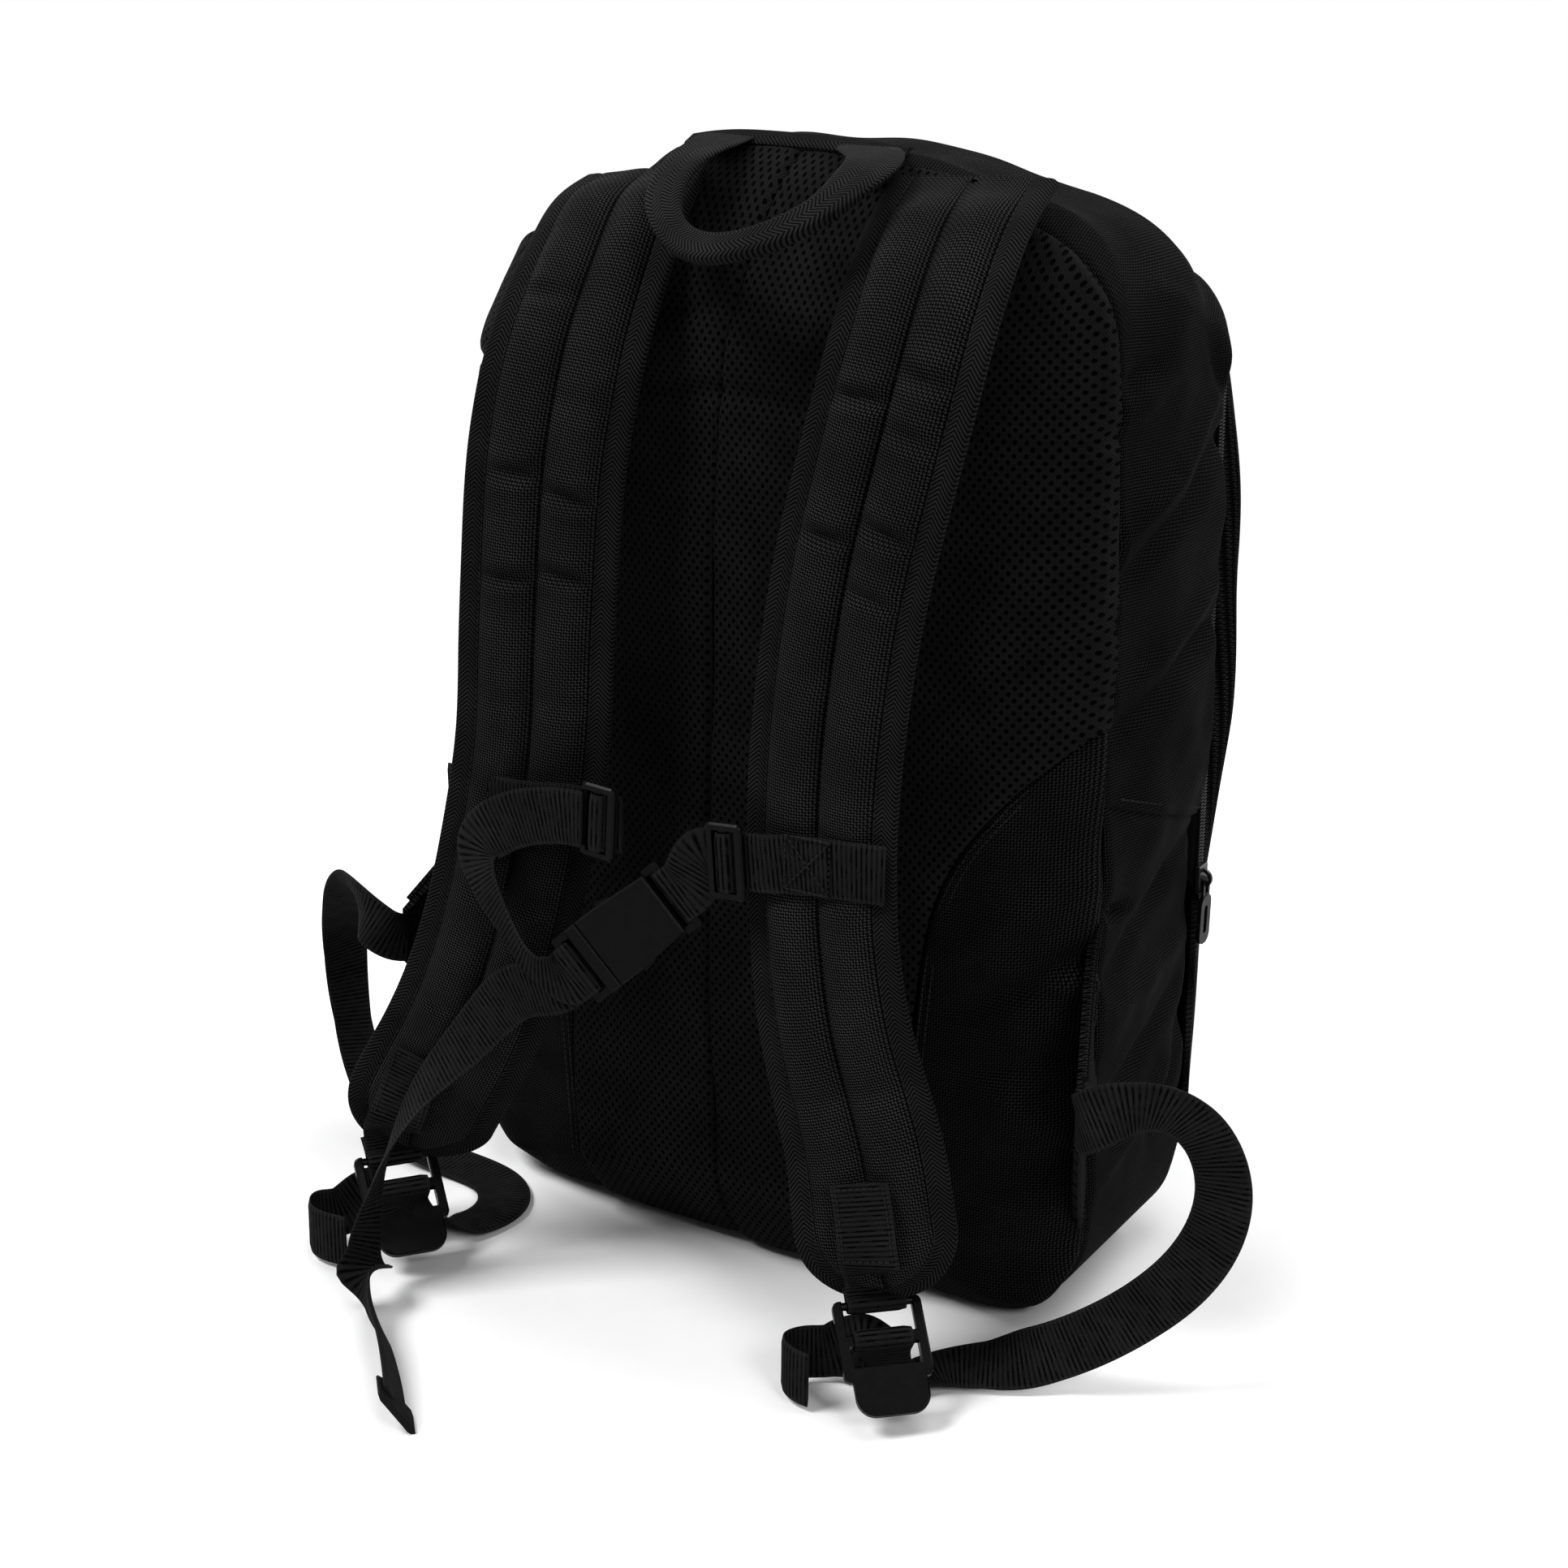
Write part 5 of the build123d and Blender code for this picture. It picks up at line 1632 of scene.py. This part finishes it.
@dataclass
class Harness:
    """Webbing, tabs, wings, sternum strap and handle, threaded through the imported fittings."""

    shop: Workshop
    web: float = WEBBING_WIDTH
    thick: float = WEBBING_THICK
    clearance: float = 0.3
    lock_thick: float = 4.0
    mid_bar: tuple[float, float] = (13.0, 18.0)
    bar_gap: float = 0.4
    glide_length: float = 17.0
    glide_rail: float = 3.2
    glide_thick: float = 2.6
    buckle_bar: float = 3.6

    def __post_init__(self) -> None:
        """Places the fittings' frames, and how far the webbing lies from the ladder lock's bars."""
        self.lock_right = lock_seat((110, -152, 40), (30, -31, -35))
        self.lock_left = lock_seat((-140, -160, 40), (33, -25, -33))
        self.glide_right = strap_seat((34, -152, 221), (1, 0.04, 0.08))
        self.glide_left = strap_seat((-28, -154, 226), (1, 0, -0.05))
        run = np.array((39.5, 15.2, 38.1))
        self.buckle = strap_seat((-30, -166, 163), run, (0.26, -0.957, 0.11))
        self.span = float(np.linalg.norm(run))
        self.leg_a = -self.mid_bar[0] + self.bar_gap + self.thick / 2
        self.leg_b = -self.mid_bar[1] - self.bar_gap - self.thick / 2
        self.leg_end = -self.lock_thick / 2 - 4.3
        self.slot_in = self.thick / 2 + self.clearance + 0.2

    def ribbon(self, name: str, points: Sequence[Point], across: Sequence[Point], count: int,
               ends: Sequence[Point] | None = None, body: Body | None = Body.BAG) -> bpy.types.Object:
        """A length of webbing along a path. It stands for the CAD node of its name.

        Args:
            name: The piece's name.
            points: What the path passes through.
            across: The width direction at each of them.
            count: Number of stations.
            ends: Directions of the path at its ends.
            body: The body that it rides on, or None if it is blended later.

        Returns:
            The object.
        """
        path = track(points, across, count, ends)
        skin = strip(path, *flat_section(self.web, self.thick))
        return self.shop.piece(name, skin, "webbing", body, [name])

    def wing(self, side: Side) -> None:
        """The folded triangle that the lower webbing is sewn into: two layers with a rolled edge.

        Rows run from the seam to the tip; each row is a line whose length shrinks evenly.

        Args:
            side: Which side.
        """
        sign = side.value
        share = np.linspace(0, 1, 30)[:, None]
        t = np.linspace(0, 1, 40)[None]
        form = BagForm()
        high, low = 186 - 50 * share, 40 + 69 * share
        z = low + (high - low) * t
        seam_x = form.side(z) - 0.8
        seam_y = form.back_seam(z) - 3.0
        tip = np.array((177.4, -104.0))
        x = seam_x + (tip[0] - seam_x) * share**1.15
        y = seam_y + (tip[1] - seam_y) * share
        points = np.stack([x, y, z + 0 * share], -1)
        bow = 2.2 * np.sin(np.pi * share) * np.sin(np.pi * t)
        fold = creased(np.stack([np.broadcast_to(60 * share, z.shape), z], -1),
                       [Crease((2, 120), (58, 122), 7, 1.6), Crease((0, 150), (50, 132), 5, -1.2),
                        Crease((0, 80), (50, 112), 5, -1.2)])
        places = np.stack([60 * share + 0 * z, z], -1)
        skin = panel(points, 3.0, places, bow + fold, (0, 3, 3, 3), 1.1, centre=(60, -60, 120))
        skin.points = form.settled(skin.points) * (sign, 1, 1)
        self.shop.piece("anchor_wing_" + side.word, skin.outward(), "gusset",
                        stands_for=["anchor_wing_" + side.word])
        piping = np.stack([x[:, -1], y[:, -1], z[:, -1]], -1) * (sign, 1, 1)
        line = track(piping[::3], np.tile((0.0, 1.0, 0.0), (10, 1)), 60)
        angle = np.linspace(0, 2 * np.pi, 10, endpoint=False)
        pipe = strip(line, 1.5 * np.cos(angle)[None], 1.5 * np.sin(angle)[None])
        self.shop.piece("wing_piping_" + side.word, pipe, "woven")

    def tab(self, side: Side) -> None:
        """Doubled webbing from the strap's face, round the lock's top bar and back up, with its stitches.

        Args:
            side: Which side.
        """
        seat = self.lock_right if side is Side.RIGHT else self.lock_left
        top = {Side.RIGHT: [(103, -157.4, 96), (107, -158.6, 80), (111, -160.5, 62)],
               Side.LEFT: [(-120, -165.2, 98), (-126, -167.0, 80), (-133, -168.6, 62)]}[side]
        radius = 1.7 + self.bar_gap + self.thick / 2
        angles = np.radians((70, 10, -50, -110, -170, -215))
        ring = [seat.at(radius * math.sin(a), radius * math.cos(a)) for a in angles]
        away = seat.origin + seat.y * 14 - seat.z * 4.0
        points = top + [seat.at(7.5, 3.4)] + ring + [away]
        across = [(0.95, 0.25, 0)] * 2 + [(0.9, 0.35, 0)] + [seat.x] * 8
        word = side.word
        self.ribbon("tab_" + word, points, across, 90)
        path = track(points, across, 90)
        rows = []
        half = 10.2
        for x in (-half, half):
            keep = path.run < 34
            rows.append(seam((path.centre + x * path.across + 0.95 * path.face)[keep], path.face[keep], 2.8))
        for run in (2.0, 33.0):
            k = int(np.argmin(np.abs(path.run - run)))
            over = np.linspace(-half, half, 20)[:, None] * path.across[k]
            line = path.centre[k] + over + 0.95 * path.face[k]
            rows.append(seam(line, np.tile(path.face[k], (20, 1)), 2.8))
        self.shop.piece("tab_stitches_" + word, joined(rows), "thread", sharp=STITCH_SHARP)

    def lock(self, side: Side) -> None:
        """Webbing over the lock's middle bar: the loop and the free end leave it behind.

        Args:
            side: Which side.
        """
        seat = self.lock_right if side is Side.RIGHT else self.lock_left
        body = Body.LOCK_RIGHT if side is Side.RIGHT else Body.LOCK_LEFT
        top = self.lock_thick / 2 + self.bar_gap + self.thick / 2
        steps = [(self.leg_a, self.leg_end), (self.leg_a, -0.5), (self.leg_a - 0.5, top - 1.0),
                 (self.leg_a - 1.8, top), (self.leg_b + 1.8, top), (self.leg_b + 0.5, top - 1.0),
                 (self.leg_b, -0.5), (self.leg_b, self.leg_end)]
        name = "lock_webbing_" + side.word
        self.ribbon(name, [seat.at(*step) for step in steps], [seat.x] * len(steps), 60,
                    (seat.z, -seat.z), body)
        self.shop.dress("ladder_lock_" + side.word, "acetal")

    def lower_webbing(self) -> None:
        """Both loops from wing to lock, and both free ends."""
        seam_line = unit(np.array((-0.022, 0, 1.0)))
        wing_out = np.array((0.5, -0.866, 0))
        tip = np.array((162.2, -77.8, 0)) + wing_out * 30.15 + seam_line * 122
        right = [tip, (183, -114, 128), (203, -107, 137), (222, -94, 129), (234, -89, 103), (228, -92, 70),
                 (207, -99, 42), (172, -113, 17), (147, -121, 7), (127, -133, 3.5), (119, -147, 5),
                 self.lock_right.at(self.leg_b, self.leg_end)]
        across = [seam_line, (0, 0, 1), (0.3, 0, 0.9), (0.8, 0, 0.6), (1, 0, 0), (0.9, 0, -0.4),
                  (0.6, 0, -0.8), (0.4, -0.2, -0.9), (0.1, -0.9, -0.4), (0.7, -0.7, 0), (1, 0.1, 0),
                  self.lock_right.x]
        made = self.ribbon("webbing_loop_right", right, across, 170, (wing_out, self.lock_right.z), None)
        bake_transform(made)
        seat = self.lock_right
        tail = [seat.at(self.leg_a, self.leg_end), seat.at(self.leg_a, self.leg_end - 3), (104, -154, 20),
                (92, -159, 15), (82, -166, 14.5), (79, -174, 14.5), (86, -181, 14.5), (96, -183, 14.5)]
        across = [seat.x] * 2 + [(0.6, 0.4, 0.7)] + [(0, 0, 1)] * 5
        self.ribbon("webbing_tail_right", tail, across, 70, (-seat.z, (1, 0, 0)), Body.LOCK_RIGHT)

        tip = tip * (-1, 1, 1)
        wing_out = wing_out * (-1, 1, 1)
        seam_line = seam_line * (-1, 1, 1)
        seat = self.lock_left
        left = [tip, (-184, -114, 128), (-207, -102, 136), (-232, -79, 118), (-247, -65, 84), (-240, -70, 50),
                (-219, -82, 24), (-190, -92, 8), (-156, -93, 2.6), (-128, -98, 1.6), (-114, -116, 1.6),
                (-116, -137, 2.2), (-125, -153, 8), seat.at(self.leg_b, self.leg_end)]
        across = [-seam_line, (0, 0, -1), (-0.2, 0.6, -0.8), (0.4, 0.9, -0.3), (0.3, 1, 0)] + [(0, 1, 0)] * 4
        across += [(0.7, 0.7, 0), (1, 0.1, 0), (1, -0.1, 0), (0.9, 0.4, 0), seat.x]
        made = self.ribbon("webbing_loop_left", left, across, 190, (wing_out, seat.z), None)
        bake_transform(made)
        tail = [seat.at(self.leg_a, self.leg_end), seat.at(self.leg_a, self.leg_end - 3),
                (-148, -166.5, 22), (-158, -178, 15), (-165, -187, 14.5), (-160, -196, 14.5),
                (-148, -199, 14.5), (-138, -198, 14.5)]
        across = [seat.x] * 2 + [(-0.4, -0.5, -0.7)] + [(0, 0, -1)] * 5
        self.ribbon("webbing_tail_left", tail, across, 70, (-seat.z, (1, 0.1, 0)), Body.LOCK_LEFT)

    def round_corner(self, y: float, z: float, start: float, turn: float) -> list[tuple[float, float]]:
        """Three points of an arc round the corner of a bar.

        Args:
            y: The corner's place along the fitting.
            z: The corner's height.
            start: The first angle, in degrees.
            turn: How far it turns, in degrees.

        Returns:
            The points, as (y, z).
        """
        radius = self.thick / 2 + self.clearance + 0.1
        angles = [math.radians(start + turn * step / 2) for step in range(3)]
        return [(y + radius * math.cos(angle), z + radius * math.sin(angle)) for angle in angles]

    def threaded(self, seat: Seat, sign: int = 1) -> list[Array]:
        """Webbing that passes under a triglide's end bars and over its middle bar.

        Args:
            seat: The triglide's frame.
            sign: 1, or -1 for webbing that comes from the other end.

        Returns:
            Points of its path.
        """
        slot = (self.glide_length - 3 * self.glide_rail) / 2
        face = self.glide_thick / 2
        end_bar = self.glide_rail / 2 + slot
        under = face + self.clearance + self.thick / 2 + 0.1
        half = [(self.glide_length / 2 + 2, -under)] + self.round_corner(end_bar, -face, 270, -90)
        half += [(self.glide_rail / 2 + slot / 2, 0)] + self.round_corner(self.glide_rail / 2, face, 0, 90)
        steps = half + [(-y, z) for y, z in reversed(half)]
        return [seat.at(sign * y, z) for y, z in steps]

    def over_bar(self, bar: float, sign: int) -> list[Array]:
        """Webbing that comes over a buckle's bar from outside and goes down through its slot.

        Args:
            bar: The bar's place along the buckle.
            sign: 1 for the plug and -1 for the socket.

        Returns:
            Points of its path.
        """
        edge = self.buckle_bar / 2
        steps = [(-edge, 2 + self.clearance + self.thick / 2 + 0.1)] + self.round_corner(edge, 2, 90, -90)
        steps += [(edge + self.slot_in, 0), (edge + self.slot_in, -3.5)]
        return [self.buckle.at(bar + sign * y, z) for y, z in steps]

    def sternum(self) -> None:
        """Bands on both pads, webbing through the triglides and round the buckle's bars, and the tail."""
        right = [(103, -142.4, 226.5), (86, -145.5, 226), (62, -147, 224)] + self.threaded(self.glide_right)
        right += [self.buckle.at(self.span + 6, 3)] + self.over_bar(self.span, -1)
        across = [-self.glide_right.x] * 19 + [-self.buckle.x] * 7
        self.ribbon("sternum_webbing_right", right, across, 240, ((-1, -0.25, 0), -self.buckle.z))
        band = [(-112, -146.6, 221), (-96, -150.4, 222), (-60, -152.2, 224)]
        band += self.threaded(self.glide_left, -1)
        made = self.ribbon("sternum_band_left", band, [-self.glide_left.x] * 19, 200,
                           ((1, -0.25, 0.05), (1, 0, 0)), None)
        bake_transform(made)
        fold = [self.glide_left.at(-self.glide_length / 2 + 2, 2.8), (-56, -157.6, 224), (-74, -158.6, 217),
                (-85, -162, 206), (-80, -165.5, 191), (-66, -169, 175), (-50, -170.5, 160),
                self.buckle.at(-6, 2)]
        fold += self.over_bar(0, 1)
        across = [-self.glide_left.x] * 2 + [(-0.5, 0, 0.86), (-0.87, 0.2, 0.4), (-0.8, 0.35, -0.3)]
        across += [(-0.62, 0.5, -0.55), (-0.3, 0.5, -0.78)] + [self.buckle.x] * 7
        made = self.ribbon("sternum_webbing_left", fold, across, 220, ((-1, 0, 0.05), -self.buckle.z), None)
        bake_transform(made)
        tail = [self.buckle.at(self.buckle_bar / 2 + self.slot_in, -3.8), self.buckle.at(-3, -8),
                self.buckle.at(-16, -8), (-64, -162.5, 143), (-85, -167, 121), (-107, -185, 88),
                (-117, -200, 50), (-115, -212, 24), (-105, -223, 13), (-82, -242, 10.5), (-38, -285, 9.5)]
        across = [-self.buckle.x] * 3 + [(-0.75, 0, 0.6), (-0.8, 0.3, 0.5), (-0.55, 0.8, 0.3)]
        across += [(-0.35, 0.93, 0.0), (-0.3, 0.75, 0.5), (-0.28, 0.3, 0.85)] + [(-0.3, -0.2, 0.9)] * 2
        made = self.ribbon("sternum_tail", tail, across, 190, (-self.buckle.z, (42, -46, 0)), None)
        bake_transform(made)
        end = np.array((-38, -285, 9.5))
        way = unit(np.array((44.0, -47.0, -1.0)))
        side = unit(np.array((-0.42, -0.3, 0.8)))
        keeper = [end - way * 9, end - way * 2, end + way * 4]
        made = track(keeper, [side] * 3, 16)
        x, y = flat_section(self.web + 0.6, 3.0)
        self.shop.piece("tail_end_fold", strip(made, x, y), "webbing", stands_for=["tail_end_fold"])
        for node in ("triglide_left", "triglide_right", "buckle_male", "buckle_arms", "buckle_female"):
            self.shop.dress(node, "acetal")
        self.sternum_stitches()

    def sternum_stitches(self) -> None:
        """A box with a cross where the right band is sewn to its pad."""
        near, far, low, high = 60.0, 80.0, 214, 237
        corners = [(near, low), (far, low), (far, high), (near, high), (near, low), (far, high), (far, low),
                   (near, high)]
        face_y = -148.3
        rows = []
        for a, b in zip(corners, corners[1:]):
            line = np.linspace((a[0], face_y, a[1]), (b[0], face_y, b[1]), 12)
            line[:, 1] += (line[:, 0] - 62) * 0.055
            rows.append(seam(line, np.tile((0.0, -1.0, 0.0), (12, 1)), 2.6, 0.5))
        self.shop.piece("sternum_stitches", joined(rows), "thread", sharp=STITCH_SHARP)

    def handle(self) -> None:
        """The grab handle: webbing that is flat where it is sewn and doubled over along its grip.

        Its section is a superellipse whose width falls and whose thickness grows by sin squared along it.
        """
        end, seam_y, z = 31.0, -48.0, 496.7
        points = [(-end, seam_y, z), (-29, -64, 496), (-28, -88, 491), (-24, -110, 478), (-3, -127, 465),
                  (27, -133, 467), (51, -120, 479), (57, -97, 491), (47, -67, 496.8), (end + 4, seam_y, z)]
        across = [(1, 0, 0), (1, 0, 0), (0.9, 0.2, 0.2), (0.5, 0.6, 0.5), (0.1, 0.7, 0.7), (0, 0.7, 0.7),
                  (-0.3, 0.7, 0.6), (-0.9, 0.3, 0.3), (-1, 0, 0), (-1, 0, 0)]
        path = track(points, across, 130, ((0, -1, 0.1), (0, 1, -0.1)))
        t = path.run / path.run[-1]
        doubled = np.clip(np.sin(np.pi * t) ** 2 * 1.35, 0, 1)[:, None] ** 1.2
        angle = (np.arange(28) + 0.5) * 2 * np.pi / 28 + np.pi / 2
        x = np.sign(np.cos(angle)) * np.abs(np.cos(angle)) ** 0.5 * (self.web / 2) * (1 - 0.47 * doubled)
        y = np.sign(np.sin(angle)) * np.abs(np.sin(angle)) ** 0.6 * (self.thick / 2 + 2.6 * doubled)
        groove = doubled * 1.5 * np.exp(-((x / 1.4) ** 2)) * (y > 0)
        y = y - groove
        made = self.shop.piece("grab_handle", strip(path, x, y), "handle", None, ["grab_handle"])
        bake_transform(made)
        self.handle_ends(end)

    def handle_ends(self, end: float) -> None:
        """The handle's two sewn ends, and their stitches.

        Args:
            end: How far each end lies from the middle.
        """
        rows = []
        for sign in (-1, 1):
            middle = [(sign * end, y, z) for y, z in ((-47.6, 495.7), (-38, 495.9), (-28, 495.1))]
            line = track(middle, [(1, 0, 0)] * 3, 16)
            rows.append(strip(line, *flat_section(self.web, self.thick)))
        self.shop.piece("handle_anchors", joined(rows), "handle", stands_for=["handle_anchors"])
        rows = []
        for sign in (-1, 1):
            for y in (-43.0, -32.0):
                line = np.linspace((sign * end - 10, y, 497.1), (sign * end + 10, y, 497.1), 16)
                line[:, 2] -= (y + 47) * 0.02
                rows.append(seam(line, np.tile((0.0, 0.0, 1.0), (16, 1)), 2.6, 0.5))
        self.shop.piece("handle_stitches", joined(rows), "thread", sharp=STITCH_SHARP)

    def build(self) -> None:
        """All of the harness but the padded straps."""
        for side in Side:
            self.wing(side)
            self.tab(side)
            self.lock(side)
        self.lower_webbing()
        self.sternum()
        self.handle()


# ---- studio -----------------------------------------------------------------------------------------------
@dataclass(frozen=True)
class Studio:
    """Camera, soft lamps, pale floor and white surroundings."""

    yaw: float = 31.27
    rise: float = 19.74
    roll: float = -0.87
    distance: float = 1258.33
    lens: float = 61.78
    target: tuple[float, float, float] = (-30.93, 0.0, 196.24)

    def camera(self) -> None:
        """The camera stands at a yaw, a rise and a distance from its target, and rolls about its axis."""
        a, e, r = (math.radians(value) for value in (self.yaw, self.rise, self.roll))
        back = np.array((math.sin(a) * math.cos(e), -math.cos(a) * math.cos(e), math.sin(e)))
        right = np.array((math.cos(a), math.sin(a), 0.0))
        up = np.cross(back, right)
        axes = (math.cos(r) * right - math.sin(r) * up, math.sin(r) * right + math.cos(r) * up, back)
        place = (np.array(self.target) + self.distance * back) * MM
        data = bpy.data.cameras.new("camera")
        data.lens, data.sensor_width, data.clip_end = self.lens, 36.0, 50.0
        camera = bpy.data.objects.new("camera", data)
        bpy.context.scene.collection.objects.link(camera)
        matrix = np.identity(4)
        matrix[:3, :3] = np.stack(axes, 1)
        matrix[:3, 3] = place
        camera.matrix_world = Matrix(matrix.tolist())
        bpy.context.scene.camera = camera

    def lamp(self, name: str, place: Point, aim: Point, size: float, power: float) -> None:
        """A square soft lamp.

        Args:
            name: The lamp's name.
            place: Where it is, in metres.
            aim: Where it is turned to, in metres.
            size: Its side, in metres.
            power: Its power, in watts.
        """
        data = bpy.data.lights.new(name, "AREA")
        data.size, data.energy = size, power
        lamp = bpy.data.objects.new(name, data)
        bpy.context.scene.collection.objects.link(lamp)
        away = unit(np.array(place, float) - np.array(aim, float))
        side = unit(np.cross((0.0, 0.0, 1.0), away))
        matrix = np.identity(4)
        matrix[:3, :3] = np.stack([side, np.cross(away, side), away], 1)
        matrix[:3, 3] = place
        lamp.matrix_world = Matrix(matrix.tolist())

    def surroundings(self) -> None:
        """White to the camera and in reflections, and a plain grey light otherwise."""
        world = bpy.data.worlds.new("surroundings")
        bpy.context.scene.world = world
        world.use_nodes = True
        nodes, links = world.node_tree.nodes, world.node_tree.links
        nodes.clear()
        path = nodes.new("ShaderNodeLightPath")
        seen = nodes.new("ShaderNodeMath")
        seen.operation = "MAXIMUM"
        links.new(path.outputs["Is Camera Ray"], seen.inputs[0])
        links.new(path.outputs["Is Transmission Ray"], seen.inputs[1])
        shown = nodes.new("ShaderNodeMath")
        shown.operation = "MAXIMUM"
        links.new(seen.outputs[0], shown.inputs[0])
        links.new(path.outputs["Is Glossy Ray"], shown.inputs[1])
        plain, white = nodes.new("ShaderNodeBackground"), nodes.new("ShaderNodeBackground")
        plain.inputs[0].default_value = (1, 1, 1, 1)
        plain.inputs[1].default_value = 0.09
        white.inputs[0].default_value = (1, 1, 1, 1)
        white.inputs[1].default_value = 1.0
        mixed, out = nodes.new("ShaderNodeMixShader"), nodes.new("ShaderNodeOutputWorld")
        links.new(shown.outputs[0], mixed.inputs[0])
        links.new(plain.outputs[0], mixed.inputs[1])
        links.new(white.outputs[0], mixed.inputs[2])
        links.new(mixed.outputs[0], out.inputs[0])

    def floor(self) -> None:
        """A large pale floor that keeps the bag's shadow."""
        paint = Paint("pale_floor")
        grain = paint.noise(90.0, 2.0)
        colour = paint.mix(grain, (0.93, 0.93, 0.93), (0.95, 0.95, 0.95))
        spot = paint.node("ShaderNodeTexCoord")
        split = paint.node("ShaderNodeSeparateXYZ", {}, {0: Link(paint, spot.outputs["Object"])})
        x, y = Link(paint, split.outputs[0]), Link(paint, split.outputs[1])
        inside = (x * x + y * y).root().between(1.15, 0.55)
        values = {"Base Color": colour, "Roughness": 0.9, "Specular IOR Level": 0.1, "Alpha": inside}
        material = paint.finish(values, grain, 0.01)
        side, z = 6.0, -0.0008
        corners = [(-side, -side, z), (side, -side, z), (side, side, z), (-side, side, z)]
        mesh = bpy.data.meshes.new("floor")
        mesh.from_pydata(corners, [], [(0, 1, 2, 3)])
        mesh.materials.append(material)
        floor = bpy.data.objects.new("floor", mesh)
        bpy.context.scene.collection.objects.link(floor)

    def build(self) -> None:
        """The whole studio."""
        self.camera()
        self.lamp("key", (-0.9, -1.3, 2.2), (0, 0, 0.25), 0.9, 56.0)
        self.lamp("fill", (2.0, -1.2, 1.7), (0, 0, 0.25), 0.9, 24.0)
        self.lamp("top", (0.3, 0.4, 2.4), (0, 0, 0.2), 1.4, 26.0)
        self.lamp("rear", (0.9, 1.9, 1.5), (0, 0, 0.25), 1.2, 34.0)
        self.lamp("left", (-2.2, 0.7, 1.3), (0, 0, 0.25), 1.2, 20.0)
        self.surroundings()
        self.floor()
        bpy.context.scene.view_settings.view_transform = "Standard"


STRAP_ROUTES = {
    Side.RIGHT: [(87, -57, 488), (91, -88, 471), (94, -117, 438), (88, -129, 392), (79, -133, 345),
                 (72, -135, 290), (70, -137, 240), (73, -139, 195), (83, -142, 147), (100, -146, 100),
                 (109, -149, 62), (113, -144, 40)],
    Side.LEFT: [(-66, -58, 480), (-65, -78, 472), (-61, -102, 453), (-61, -121, 426), (-63, -131, 398),
                (-66, -135, 370), (-69, -137, 325), (-70, -139, 290), (-71, -141, 252), (-76, -144, 212),
                (-86, -147, 165), (-98, -150, 127), (-113, -153, 94), (-129, -156, 62), (-138, -151, 40)],
}
STRAP_ACROSS = {
    Side.RIGHT: [(1, 0, 0)] * 8 + [(1, 0.1, 0), (0.96, 0.2, 0), (0.9, 0.35, 0), (0.9, 0.35, 0)],
    Side.LEFT: [(1, 0.05, 0.2), (1, 0.1, 0.15), (1, 0.15, 0.1), (1, 0.2, 0)] + [(1, 0.28, 0)] * 8 + [
        (0.96, 0.32, 0), (0.9, 0.38, 0), (0.9, 0.38, 0)],
}
# height, channel (-1 left, 1 right, 0 both), half width along the strap, depth
PUCKERS = {
    Side.RIGHT: [(424, 1, 3.2, 0.45), (412, -1, 3.0, 0.5), (404, 1, 3.0, 0.35), (367, 1, 3.2, 0.5),
                 (358, -1, 3.0, 0.45), (341, 1, 2.8, 0.35), (300, 0, 5.0, 0.12), (210, 0, 4.0, 0.2),
                 (128, 0, 4.0, 0.15)],
    Side.LEFT: [(434, -1, 3.0, 0.2), (366, -1, 3.2, 0.5), (360, 1, 3.2, 0.5), (322, -1, 3.0, 0.42),
                (326, 1, 3.0, 0.45), (398, 1, 4.0, 0.18), (268, 0, 4.5, 0.12), (180, 0, 4.5, 0.2),
                (120, 0, 4.0, 0.2)],
}


def main() -> None:
    """Builds the studio, the bag's body, both straps and the harness, in that order."""
    logging.basicConfig(level=logging.INFO, format="%(message)s")
    Studio().build()
    shop = Workshop(Finishes())
    Shell(shop).build()
    for side in Side:
        ShoulderStrap(shop, side, STRAP_ROUTES[side], STRAP_ACROSS[side], PUCKERS[side]).build()
    Harness(shop).build()


if __name__ == "__main__":
    main()
